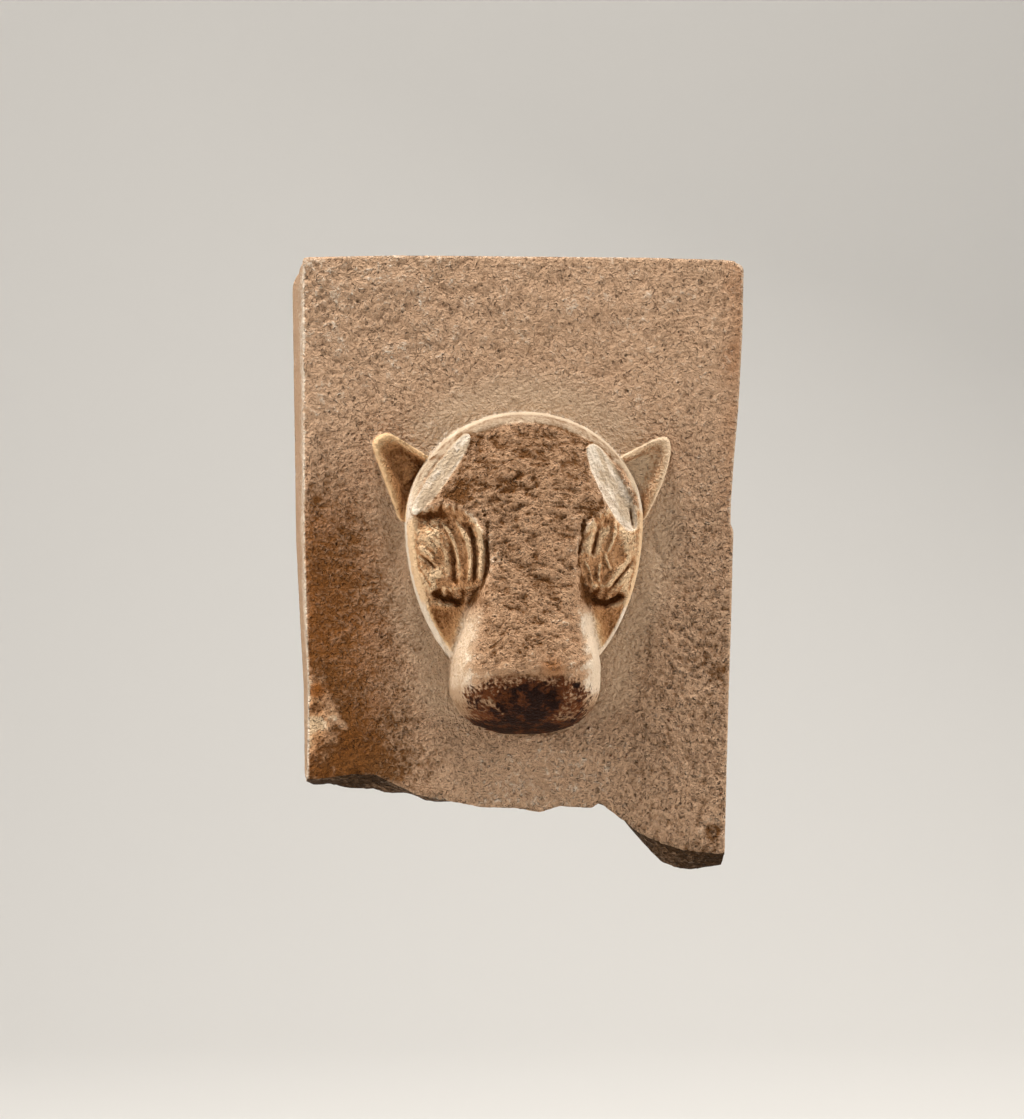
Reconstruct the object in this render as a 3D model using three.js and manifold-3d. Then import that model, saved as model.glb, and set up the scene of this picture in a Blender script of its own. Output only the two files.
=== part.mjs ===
// Relief panel: an upright stone slab with a bull's head carved in high relief.
// The horns and the foot of the slab are broken off. It is one stone, so it is one solid.
// Millimetres, +Z up. The face looks along -Y, the flat back lies in the plane y = 0,
// and the origin is the middle of the back, where the panel is held.
// Heights of the carving are measured out from the slab's face.
import * as THREE from 'three';
import Module from 'manifold-3d';

const wasm = await Module();
wasm.setup();

// ---- slab ----
const THICKNESS = 64;
const EDGE_WEAR = 1.4;
const FOOT_WEAR = 0.6;
const ROOT = 4; // how deep the carved pieces reach into the slab

// Dressed face: [height, across] down the sides, [across, height] along the top and the broken foot.
const LEFT_EDGE = [[-135, -116.4], [-83, -115.9], [-44, -117.3], [0, -118.5], [157, -118.8]];
const RIGHT_EDGE = [
  [-174, 113.9], [-129, 115], [-88, 116.1], [-55, 117.2], [5, 118.8], [9, 117.2], [21, 117.4],
  [41, 118.8], [74, 121.6], [115, 123.8], [157, 124.6],
];
const TOP_EDGE = [[-119, 155.2], [-65, 156.5], [66, 155.8], [108, 154.8], [125, 152.8]];
const BROKEN_EDGE = [
  [-116.4, -131.5], [-92, -128.6], [-80, -128.8], [-69, -134.4], [-57, -139.9], [-40, -143.4],
  [-21, -146.9], [-2, -147.6], [12, -149.9], [24, -146.5], [42, -147.6], [47, -144.8],
  [58, -152.6], [70, -161.4], [83, -167], [97, -171.3], [113.9, -173],
];
// The fracture runs down and back from the face to a ridge, then nearly level to the back.
const RIDGE_DEPTH = 18;
const RIDGE_EDGE = [
  [-117, -134.8], [-113, -137.3], [-80, -137.6], [-69, -140.8], [-50, -144.9], [0, -146.5],
  [42, -146], [55, -151.5], [66, -160.8], [78, -173.8], [85, -180.4], [96, -184.8], [114, -182],
];
const BACK_EDGE_RISE = 3;
// The left side leans out towards the back, most of all at the top.
const LEFT_LEAN = [[-135, 0.4], [0, 3.2], [157, 5.2]];
const RIGHT_LEAN = -1;
const CORNER_RADIUS = { left: { front: 2, back: 15 }, right: { front: 4.5, back: 6 } };
const CORNER_STEPS = 5;
// Points of the outline further out, or higher, than these lie on a side or on the top.
const SIDE_FROM = 110;
const TOP_FROM = 145;
const HALF_WIDTH = 118; // the lean of a side fades out from here to the middle

// ---- skull ----
const SKULL = { x: 2.6, z: 11, halfWidth: 65.5, up: 59.5, down: 97 };
const WALL_HEIGHT = [[-80, 11.5], [-45, 12], [-20, 14], [0, 15.5], [25, 17], [50, 18], [75, 17.5]];
const WALL_WIDTH = { left: 4.2, right: 2.6, poll: 6.2 };
const WALL_ROUNDNESS = 0.62;
const POLL_FROM = [25, 60]; // heights between which the wall widens towards the poll
const DOME = { reach: 30, power: 1.7, lowest: -45 };
const CHEEK = { rise: 3, reach: 20, from: -34, to: -16 };
const SKULL_MESH = { around: 80, wall: [0, 0.12, 0.42, 1], inner: 9, hub: 0.5 };

// Heights along the middle, from the end of the muzzle over the bridge to the poll.
const CROWN = [
  [-107, 0], [-106.2, 9], [-103.5, 22], [-98, 36], [-88, 47.5], [-77, 54], [-69, 56], [-60, 53],
  [-45, 46.5], [-33, 42], [-11, 36.5], [11, 32.5], [38, 27.5], [60, 22.5], [72, 18],
];
const CENTRE_LINE = [[-80, 2.8], [-40, 4], [-5, 6], [40, 5], [75, 4]];

// ---- band between the eyes, bridge of the nose and muzzle ----
const MUZZLE = { z: -77, halfWidth: 41.4, drop: 29.9, roundness: 2.3 };
const BRIDGE_HALF_WIDTH = [
  [-77, 41.4], [-69, 41.2], [-60, 39.5], [-50, 36.6], [-40, 34.5], [-31, 31], [-22, 29], [30, 33],
];
const BAND_STEP = { height: 1.6, from: 8, to: -12 }; // how far the band stands above the dome beside it
const BAND_SINK = { depth: 6, from: 4, to: 26 }; // where the band's upper end sinks into the forehead
const MUZZLE_PROFILE = { power: 3.7, roundness: 0.42 };
const BAND_PROFILE = { sag: 0.04, power: 14, roundness: 0.5 };
const MUZZLE_TO_BAND = [-50, -22];
const BRIDGE_MESH = { top: 28, along: 18, end: 7, hub: 0.35, across: 20 };

// ---- eyes: [sideways from the middle of the face, height up the slab] ----
const FACE_X = 6;
const SOCKET = { out: 49.5, z: -9, radius: 26, stretch: 1.12, around: 36 };
const SOCKET_RINGS = [0.1, 0.3, 0.5, 0.68, 0.85, 1];
const SOCKET_TOP = 60;
const SOCKET_FLOOR = { outer: 1.5, rise: 14.5, from: 62, over: 36, power: 1.15 };
const LID_SWELLING = { height: 3.2, out: 55, across: 8, z: -1, up: 9 };
const HORN_HOLLOW = { depth: 2.5, from: 3, to: 13 };
const LIDS = [
  { path: [[61, -4], [54.5, -12], [43.5, -29]], radius: 2.4, lift: 0, rightShift: 4 },
  { path: [[60, -12], [51, -21], [42.5, -32]], radius: 1.9, lift: -0.2, rightShift: 4 },
];
const BROW_FOLDS = [
  { path: [[47.5, 9.5], [42.2, -4], [39.5, -17]], radius: 1.9, lift: -0.4, rightShift: 0 },
  { path: [[42.5, 10.5], [35, -6], [36, -24]], radius: 2.4, lift: 0, rightShift: 0 },
  { path: [[36, 11], [28.9, -6], [29.6, -24]], radius: 2.3, lift: 0.2, rightShift: 0 },
];
const TEAR_HOLLOW = { out: 37, z: -33, radii: [7, 5.5, 4.5] };
const RIDGE_END = { thickness: 0.35, taper: 0.6 };
const RIDGE_MESH = { along: 8, around: 6, nudge: 0.01 };

// ---- ears: outline from the skull over the tip to the lower corner ----
const EARS = [
  {
    outline: [[-48, 44.5], [-71.5, 59.2], [-78.5, 58], [-82, 52.5], [-77, 38], [-66, 10], [-58, 10]],
    hollow: [-55, 36],
  },
  {
    outline: [[50, 43], [77, 57], [82, 57.5], [84.5, 51.5], [81, 34.7], [69.5, 10.5], [61, 10]],
    hollow: [57, 35],
  },
];
const EAR_HEIGHT = [[10, 1], [18, 6], [30, 9.5], [60, 10.5]];
const EAR_FLOOR = 1.5;
const EAR_SCOOP = 6.5;
const EAR_RIM = { outer: 0.03, inner: 0.1, foot: 0.6 };
const EAR_BOWL_TO = 0.55;
const EAR_HOLLOW_RINGS = [0.13, 0.22, 0.34, 0.5, 0.75];
const EAR_STEPS = 4;

// ---- flat scars where the horns broke off, with the height at each end and a tilt across ----
const HORN_SCARS = [
  { from: [-59, 14], to: [-28.5, 57.5], halfWidth: 5, low: 19.5, high: 21, tilt: 0.3 },
  { from: [61.5, 5], to: [38, 52], halfWidth: 7.2, low: 19, high: 21.5, tilt: -0.3 },
];
const SCAR_ROUNDNESS = 0.8;
const SCAR_STEPS = 8;
const SCAR_FOOT = 8;
const SCAR_TOP = 45;

// ---- losses along the left edge of the face ----
const CHIPS = [
  { centre: [-119, -65, -98], radii: [17, 3.6, 27] },
  { centre: [-120, -65, -36], radii: [6.5, 3.2, 13] },
];

const STONE = new THREE.MeshStandardMaterial({ color: 0xa58763, roughness: 0.85, metalness: 0 });

// ---- numbers and curves ----
const clamp01 = (value) => Math.min(1, Math.max(0, value));
const mix = (a, b, t) => a + (b - a) * t;
const count = (n, make) => Array.from({ length: n }, (_, i) => make(i));

function fade(from, to, value) {
  const t = clamp01((value - from) / (to - from));
  return t * t * (3 - 2 * t);
}

function spanOf(points, value) {
  let index = 0;
  while (index < points.length - 2 && value > points[index + 1][0]) index += 1;
  return index;
}

// Straight lines through the points.
function along(points, value) {
  const index = spanOf(points, value);
  const [a, b] = [points[index], points[index + 1]];
  return mix(a[1], b[1], clamp01((value - a[0]) / (b[0] - a[0])));
}

// A smooth curve through the points that doesn't overshoot them.
function curveAlong(points, value) {
  const slope = (i) => (points[i + 1][1] - points[i][1]) / (points[i + 1][0] - points[i][0]);
  const tangent = (i) => {
    if (i === 0) return slope(0);
    if (i === points.length - 1) return slope(i - 1);
    const [before, after] = [slope(i - 1), slope(i)];
    return before * after <= 0 ? 0 : (2 * before * after) / (before + after);
  };
  const index = spanOf(points, value);
  const [a, b] = [points[index], points[index + 1]];
  const width = b[0] - a[0];
  const t = clamp01((value - a[0]) / width);
  const rest = 1 - t;
  return (1 + 2 * t) * rest * rest * a[1] + t * rest * rest * width * tangent(index)
    + t * t * (3 - 2 * t) * b[1] - t * t * rest * width * tangent(index + 1);
}

// A point of the bow that passes through a path's three points.
function onBow([start, middle, end], t) {
  return [0, 1].map((k) => {
    const pull = 2 * middle[k] - (start[k] + end[k]) / 2;
    return (1 - t) ** 2 * start[k] + 2 * t * (1 - t) * pull + t * t * end[k];
  });
}

// ---- solids ----

// Joins rings of equally many points, one after the other, and closes both ends with a fan.
function loft(rings) {
  const size = rings[0].length;
  const positions = rings.flat();
  const triangles = [];
  for (let ring = 0; ring < rings.length - 1; ring += 1) {
    for (let k = 0; k < size; k += 1) {
      const [a, b] = [ring * size + k, ring * size + ((k + 1) % size)];
      triangles.push([a, b, b + size], [a, b + size, a + size]);
    }
  }
  [[0, -1], [rings.length - 1, 1]].forEach(([ring, turn]) => {
    const middle = [0, 1, 2].map((axis) => rings[ring].reduce((sum, point) => sum + point[axis], 0) / size);
    positions.push(middle);
    for (let k = 0; k < size; k += 1) {
      const [a, b] = [ring * size + k, ring * size + ((k + 1) % size)];
      triangles.push(turn > 0 ? [a, b, positions.length - 1] : [b, a, positions.length - 1]);
    }
  });
  const volume = triangles.reduce((sum, [a, b, c]) => {
    const [p, q, r] = [positions[a], positions[b], positions[c]].map((point) => new THREE.Vector3(...point));
    return sum + p.dot(q.cross(r));
  }, 0);
  const outward = volume > 0 ? triangles : triangles.map(([a, b, c]) => [a, c, b]);
  return new wasm.Manifold(new wasm.Mesh({
    numProp: 3,
    vertProperties: new Float32Array(positions.flat()),
    triVerts: new Uint32Array(outward.flat()),
  }));
}

function ellipsoid([x, y, z], [rx, ry, rz], steps = 8) {
  return loft(count(steps, (i) => {
    const tilt = (Math.PI * (i + 0.5)) / steps;
    return count(2 * steps, (k) => {
      const turn = (Math.PI * k) / steps;
      const ring = Math.sin(tilt);
      return [x + rx * ring * Math.cos(turn), y + ry * ring * Math.sin(turn), z + rz * Math.cos(tilt)];
    });
  }));
}

const raised = (x, z, height) => [x, -THICKNESS - height, z];

// ---- slab ----

// The corner's arc, from the upright side to the top, in equal steps.
function cornerArc(sideEdge, topPoint, radius) {
  const [edge, top] = [sideEdge[sideEdge.length - 1][1], topPoint[1]];
  return count(CORNER_STEPS, (i) => {
    const turn = (Math.PI / 2) * (i / (CORNER_STEPS - 1));
    const out = Math.sign(edge) * radius;
    return [edge - out * (1 - Math.cos(turn)), top - radius * (1 - Math.sin(turn))];
  });
}

// The slab's outline at a depth behind the face, anticlockwise from the foot's left end.
function slabRing(depth) {
  const share = depth / THICKNESS;
  const inset = depth > 0 ? 0 : EDGE_WEAR;
  const foot = BROKEN_EDGE.map(([x, z]) => {
    const broken = mix(z, along(RIDGE_EDGE, x), clamp01((depth - FOOT_WEAR) / (RIDGE_DEPTH - FOOT_WEAR)));
    return [x, broken + (depth > RIDGE_DEPTH ? BACK_EDGE_RISE : 0)];
  });
  const right = RIGHT_EDGE.slice(1, -1).map(([z, x]) => [x, z]);
  const left = LEFT_EDGE.slice(1, -1).reverse().map(([z, x]) => [x, z]);
  const radius = ({ front, back }) => mix(front, back, share);
  const top = TOP_EDGE.slice(1, -1).reverse();
  const outline = [
    ...foot, ...right, ...cornerArc(RIGHT_EDGE, TOP_EDGE[TOP_EDGE.length - 1], radius(CORNER_RADIUS.right)),
    ...top, ...cornerArc(LEFT_EDGE, TOP_EDGE[0], radius(CORNER_RADIUS.left)).reverse(), ...left,
  ];
  return outline.map(([x, z], i) => {
    const lean = share * (x < 0 ? -along(LEFT_LEAN, z) : RIGHT_LEAN) * clamp01(Math.abs(x) / HALF_WIDTH);
    const inward = i < foot.length ? 0 : inset;
    const side = Math.abs(x) > SIDE_FROM ? Math.sign(x) * inward : 0;
    return [x + lean - side, depth - THICKNESS, z > TOP_FROM ? z - inward : z];
  });
}

function slab() {
  return loft([0, FOOT_WEAR, EDGE_WEAR, RIDGE_DEPTH, THICKNESS].map(slabRing));
}

// ---- skull ----

// Distance from the skull's middle to its outline in one direction.
function skullReach(turn) {
  const end = Math.sin(turn) > 0 ? SKULL.up : SKULL.down;
  return 1 / Math.hypot(Math.cos(turn) / SKULL.halfWidth, Math.sin(turn) / end);
}

function wallWidth(x, z) {
  const side = x < curveAlong(CENTRE_LINE, z) ? WALL_WIDTH.left : WALL_WIDTH.right;
  return mix(side, WALL_WIDTH.poll, fade(...POLL_FROM, z));
}

// Domed forehead above, flat cheeks below; inset is the distance in from the outline.
function skullHeight(x, z, inset) {
  const width = wallWidth(x, z);
  const edge = curveAlong(WALL_HEIGHT, z);
  if (inset < width) return edge * (1 - (1 - inset / width) ** 2) ** WALL_ROUNDNESS;
  const step = BAND_STEP.height * fade(BAND_STEP.from, BAND_STEP.to, z);
  const crown = curveAlong(CROWN, Math.max(z, DOME.lowest)) - step;
  const dome = mix(edge, crown, 1 - (1 - clamp01((inset - width) / DOME.reach)) ** DOME.power);
  const cheek = edge + CHEEK.rise * clamp01((inset - width) / CHEEK.reach);
  return mix(cheek, dome, fade(CHEEK.from, CHEEK.to, z));
}

function skull() {
  const ring = (insetAt, heightAt) => count(SKULL_MESH.around, (k) => {
    const turn = (2 * Math.PI * k) / SKULL_MESH.around;
    const reach = skullReach(turn);
    const at = (inset) => [
      SKULL.x + (reach - inset) * Math.cos(turn),
      SKULL.z + (reach - inset) * Math.sin(turn),
    ];
    const inset = insetAt(reach, wallWidth(...at(0)));
    const [x, z] = at(inset);
    return raised(x, z, heightAt(x, z, inset));
  });
  const wall = SKULL_MESH.wall.map((share) => ring((_, width) => share * width, skullHeight));
  const inner = count(SKULL_MESH.inner, (i) => {
    const share = (i + 1) / (SKULL_MESH.inner + SKULL_MESH.hub);
    return ring((reach, width) => mix(width, reach, share), skullHeight);
  });
  return loft([ring(() => 0, () => -ROOT), ...wall, ...inner]);
}

// ---- bridge and muzzle ----

function bridgeHalfWidth(z) {
  if (z >= MUZZLE.z) return curveAlong(BRIDGE_HALF_WIDTH, z);
  const down = clamp01((MUZZLE.z - z) / MUZZLE.drop);
  return MUZZLE.halfWidth * (1 - down ** MUZZLE.roundness) ** (1 / MUZZLE.roundness);
}

// Height at a share of the half width: nearly flat between the eyes, rounded over the muzzle.
function bridgeHeight(share, z) {
  const aside = Math.abs(share);
  const rounded = (1 - aside ** MUZZLE_PROFILE.power) ** MUZZLE_PROFILE.roundness;
  const edge = (1 - aside ** BAND_PROFILE.power) ** BAND_PROFILE.roundness;
  const flat = (1 - BAND_PROFILE.sag * aside ** 2) * edge;
  const sink = BAND_SINK.depth * fade(BAND_SINK.from, BAND_SINK.to, z);
  return Math.max(0, curveAlong(CROWN, z) * mix(rounded, flat, fade(...MUZZLE_TO_BAND, z)) - sink);
}

function bridge() {
  const section = (z) => {
    const half = bridgeHalfWidth(z);
    const middle = curveAlong(CENTRE_LINE, z);
    const surface = count(BRIDGE_MESH.across + 1, (i) => {
      const share = Math.sin(Math.PI * (i / BRIDGE_MESH.across - 0.5));
      return raised(middle + half * share, z, bridgeHeight(share, z));
    });
    return [raised(middle - half, z, -ROOT), ...surface, raised(middle + half, z, -ROOT)];
  };
  const upper = count(BRIDGE_MESH.along, (i) => mix(BRIDGE_MESH.top, MUZZLE.z, i / BRIDGE_MESH.along));
  const end = count(BRIDGE_MESH.end + 1, (i) => {
    const turn = (Math.PI / 2) * (i / (BRIDGE_MESH.end + BRIDGE_MESH.hub));
    return MUZZLE.z - MUZZLE.drop * Math.sin(turn);
  });
  return loft([...upper, ...end].map(section));
}

// ---- eyes ----

// The sloping floor of the eye socket, deeper under the horn and swelling above the lids.
function eyeFloor(x, z) {
  const out = Math.abs(x - FACE_X);
  const inward = clamp01((SOCKET_FLOOR.from - out) / SOCKET_FLOOR.over);
  const slope = SOCKET_FLOOR.outer + SOCKET_FLOOR.rise * inward ** SOCKET_FLOOR.power;
  const across = (out - LID_SWELLING.out) / LID_SWELLING.across;
  const up = (z - LID_SWELLING.z) / LID_SWELLING.up;
  const swelling = LID_SWELLING.height * Math.exp(-(across ** 2) - up ** 2);
  const hollow = HORN_HOLLOW.depth * fade(HORN_HOLLOW.from, HORN_HOLLOW.to, z);
  return curveAlong(WALL_HEIGHT, z) + slope + swelling - hollow;
}

// The room above the floor of one socket, inside its oval outline.
function socketRoom(side) {
  const ring = (share, heightAt) => count(SOCKET.around, (k) => {
    const turn = (2 * Math.PI * k) / SOCKET.around;
    const x = FACE_X + side * (SOCKET.out + share * SOCKET.radius * Math.cos(turn));
    const z = SOCKET.z + share * SOCKET.radius * SOCKET.stretch * Math.sin(turn);
    return raised(x, z, heightAt(x, z));
  });
  const floor = SOCKET_RINGS.map((share) => ring(share, eyeFloor));
  return loft([...floor, ring(1, () => SOCKET_TOP)]);
}

// A rounded ridge that follows a bow over the floor of the socket and thins out at both ends.
function ridge({ path, radius, lift, rightShift }, side) {
  const shift = side > 0 ? rightShift : 0;
  const centre = (t) => {
    const [out, z] = onBow(path, t);
    return [FACE_X + side * (out - shift), z];
  };
  return loft(count(RIDGE_MESH.along + 1, (i) => {
    const t = i / RIDGE_MESH.along;
    const [x, z] = centre(t);
    const [[x0, z0], [x1, z1]] = [centre(t - RIDGE_MESH.nudge), centre(t + RIDGE_MESH.nudge)];
    const length = Math.hypot(x1 - x0, z1 - z0);
    const thick = radius * mix(RIDGE_END.thickness, 1, Math.sin(Math.PI * t) ** RIDGE_END.taper);
    return count(RIDGE_MESH.around, (k) => {
      const turn = (2 * Math.PI * k) / RIDGE_MESH.around;
      const sideways = thick * Math.cos(turn);
      const height = eyeFloor(x, z) + lift + thick * Math.sin(turn);
      return raised(x + (sideways * (z1 - z0)) / length, z - (sideways * (x1 - x0)) / length, height);
    });
  }));
}

function tearHollow(side) {
  const x = FACE_X + side * TEAR_HOLLOW.out;
  return ellipsoid(raised(x, TEAR_HOLLOW.z, eyeFloor(x, TEAR_HOLLOW.z)), TEAR_HOLLOW.radii);
}

// ---- ears ----

// A thin upright rim, scooped out behind it towards the skull.
function ear({ outline, hollow }) {
  const points = outline.flatMap((point, i) => {
    const next = outline[(i + 1) % outline.length];
    return count(EAR_STEPS, (k) => [0, 1].map((axis) => mix(point[axis], next[axis], k / EAR_STEPS)));
  });
  const ring = (share, heightAt) => points.map(([x, z]) => {
    const [u, v] = [mix(x, hollow[0], share), mix(z, hollow[1], share)];
    return raised(u, v, heightAt(curveAlong(EAR_HEIGHT, z)));
  });
  const scooped = EAR_HOLLOW_RINGS.map((share) => (
    ring(share, (rim) => Math.max(EAR_FLOOR, rim - EAR_SCOOP * fade(EAR_RIM.inner, EAR_BOWL_TO, share)))));
  const rims = [EAR_RIM.outer, EAR_RIM.inner].map((share) => ring(share, (rim) => rim));
  return loft([ring(0, () => -ROOT), ring(0, (rim) => EAR_RIM.foot * rim), ...rims, ...scooped]);
}

// ---- horn scars ----

// A leaf-shaped stump with a flat, slightly tilted break, and the room above it that the break cleared.
function hornScar({ from, to, halfWidth, low, high, tilt }) {
  const [dx, dz] = [to[0] - from[0], to[1] - from[1]];
  const length = Math.hypot(dx, dz);
  const leaf = count(2 * SCAR_STEPS, (i) => {
    const turn = (Math.PI * i) / SCAR_STEPS;
    const t = (1 - Math.cos(turn)) / 2;
    const across = halfWidth * Math.sign(Math.sin(turn)) * Math.abs(Math.sin(turn)) ** SCAR_ROUNDNESS;
    const x = from[0] + t * dx + (across * dz) / length;
    const z = from[1] + t * dz - (across * dx) / length;
    return { t, across, x, z };
  });
  const foot = leaf.map(({ x, z }) => raised(x, z, SCAR_FOOT));
  const face = leaf.map(({ x, z, t, across }) => raised(x, z, mix(low, high, t) + tilt * across));
  const above = leaf.map(({ x, z }) => raised(x, z, SCAR_TOP));
  return { stump: loft([foot, face]), clearance: loft([face, above]) };
}

// ---- the stone ----

function carvedStone() {
  let stone = slab();
  const join = (solid) => {
    stone = stone.add(solid);
  };
  const cut = (solid) => {
    stone = stone.subtract(solid);
  };
  join(skull());
  join(bridge());
  [-1, 1].forEach((side) => cut(socketRoom(side)));
  HORN_SCARS.map(hornScar).forEach(({ stump, clearance }) => {
    cut(clearance);
    join(stump);
  });
  [-1, 1].forEach((side) => {
    [...BROW_FOLDS, ...LIDS].forEach((line) => join(ridge(line, side)));
    cut(tearHollow(side));
  });
  EARS.map(ear).forEach(join);
  CHIPS.forEach(({ centre, radii }) => cut(ellipsoid(centre, radii)));
  return stone;
}

function meshOf(solid, name) {
  const { vertProperties, triVerts } = solid.getMesh();
  const geometry = new THREE.BufferGeometry();
  geometry.setAttribute('position', new THREE.BufferAttribute(vertProperties, 3));
  geometry.setIndex(new THREE.BufferAttribute(triVerts, 1));
  geometry.computeVertexNormals();
  const mesh = new THREE.Mesh(geometry, STONE);
  mesh.name = name;
  return mesh;
}

const panel = new THREE.Group();
panel.add(meshOf(carvedStone(), 'relief_panel'));
export default panel;
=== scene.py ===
"""Relief panel: an upright slab of cream limestone with a bull's head carved in high relief.

The stone's fine carving replaces the plain solid of the frame. Sizes are in millimetres and
the finished mesh is in metres; the face looks along -Y and the back lies in the plane y = 0.
"""
import logging
import math
from dataclasses import dataclass, field
from enum import Enum
from functools import partial

import bpy
import numpy as np
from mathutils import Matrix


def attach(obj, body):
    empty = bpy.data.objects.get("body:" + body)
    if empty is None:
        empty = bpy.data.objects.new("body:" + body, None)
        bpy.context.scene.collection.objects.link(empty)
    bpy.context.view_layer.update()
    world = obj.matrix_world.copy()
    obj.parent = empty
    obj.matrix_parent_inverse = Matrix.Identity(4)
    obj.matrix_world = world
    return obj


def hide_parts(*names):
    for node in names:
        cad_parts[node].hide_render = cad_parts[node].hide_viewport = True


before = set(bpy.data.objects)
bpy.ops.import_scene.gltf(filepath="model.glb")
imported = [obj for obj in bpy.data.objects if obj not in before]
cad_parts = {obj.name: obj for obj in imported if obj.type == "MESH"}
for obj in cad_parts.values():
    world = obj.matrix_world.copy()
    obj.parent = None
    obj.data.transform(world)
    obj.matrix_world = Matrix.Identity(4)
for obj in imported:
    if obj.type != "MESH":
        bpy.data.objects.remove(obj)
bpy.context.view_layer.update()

MM = 0.001
FAR_OFF = (3.7, 1.9, 5.3)  # metres to where patterns start, because all their octaves line up at 0
DRESSING = "dressing"  # attribute in which the dressing keeps how proud it leaves the surface
log = logging.getLogger("relief_panel")

Array = np.ndarray
Points = tuple[tuple[float, float], ...]


class Mask(Enum):
    """What the mesh tells the dressing and the finish about each point."""

    TONE = "tone"
    STAIN = "stain"
    RUST = "rust"
    GOLDEN = "golden"
    BROKEN = "broken"
    PECKED = "pecked"
    FURROWED = "furrowed"
    RUBBED = "rubbed"
    SOLE = "inward_only"


# ---- numbers and curves ----

def fade(start: float, end: float, value: Array) -> Array:
    """Rise smoothly from 0 at start to 1 at end."""
    share = np.clip((value - start) / (end - start), 0, 1)
    return share * share * (3 - 2 * share)


def mix(first: Array, second: Array, share: Array) -> Array:
    """Blend two values."""
    return first + (second - first) * share


def bell(distance: Array, width: float) -> Array:
    """Fall from 1 at no distance to nearly 0 at twice the width."""
    return np.exp(-((distance / width) ** 2))


def smooth_max(first: Array, second: Array, width: float) -> Array:
    """Take the larger value, with a fillet where the two cross."""
    share = np.clip(0.5 + 0.5 * (first - second) / width, 0, 1)
    return mix(second, first, share) + width * share * (1 - share)


def along(points: Points, value: Array) -> Array:
    """Follow straight lines through the points."""
    table = np.array(points, float)
    return np.interp(value, table[:, 0], table[:, 1])


def curve_along(points: Points, value: Array) -> Array:
    """Follow a smooth curve through the points that does not overshoot them.

    Args:
        points: pairs of a place and its height, in the order of the places.
        value: the places to look up.

    Returns:
        The height at each place.
    """
    table = np.array(points, float)
    at, height = table[:, 0], table[:, 1]
    width = np.diff(at)
    slope = np.diff(height) / width
    tangent = np.zeros(len(at))
    tangent[0], tangent[-1] = slope[0], slope[-1]
    before, after = slope[:-1], slope[1:]
    total = np.where(before + after == 0, 1, before + after)
    tangent[1:-1] = np.where(before * after <= 0, 0, 2 * before * after / total)
    value = np.clip(value, at[0], at[-1])
    index = np.clip(np.searchsorted(at, value, side="right") - 1, 0, len(at) - 2)
    t = (value - at[index]) / width[index]
    rest = 1 - t
    return (
        (1 + 2 * t) * rest * rest * height[index]
        + t * rest * rest * width[index] * tangent[index]
        + t * t * (3 - 2 * t) * height[index + 1]
        - t * t * rest * width[index] * tangent[index + 1]
    )


def lumps(x: Array, y: Array, z: Array, size: float, seed: int) -> Array:
    """Make smooth random lumps, from -1 to 1.

    Args:
        x, y, z: where to measure, in millimetres.
        size: width of a lump in millimetres.
        seed: picks one field of lumps.

    Returns:
        The height of the field at each point.
    """
    cells, shares = [], []
    for value in (x, y, z):
        scaled = np.asarray(value, float) / size
        floor = np.floor(scaled)
        part = scaled - floor
        cells.append(floor.astype(np.int64))
        shares.append(part * part * part * (part * (part * 6 - 15) + 10))
    total = np.zeros(np.broadcast(*cells).shape)
    for corner in range(8):
        offsets = [(corner >> axis) & 1 for axis in range(3)]
        weight = 1.0
        mixed = np.full(total.shape, seed * 7919, np.int64)
        for cell, share, offset, prime in zip(cells, shares, offsets, (73856093, 19349663, 83492791)):
            weight = weight * (share if offset else 1 - share)
            mixed = mixed ^ ((cell + offset) * prime)
        mixed = (mixed ^ (mixed >> 13)) * 1274126177 & 0x7FFFFFFF
        mixed = (mixed ^ (mixed >> 16)) * 668265263 & 0x7FFFFFFF
        total = total + weight * ((mixed >> 8) & 0xFFFF) / 0x7FFF
    return total - 1


def face_lumps(x: Array, z: Array, size: float, seed: int) -> Array:
    """Make smooth random lumps that depend on the place on the face alone."""
    return lumps(x, 0 * x, z, size, seed)


# ---- lines cut or raised on the surface ----

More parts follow.
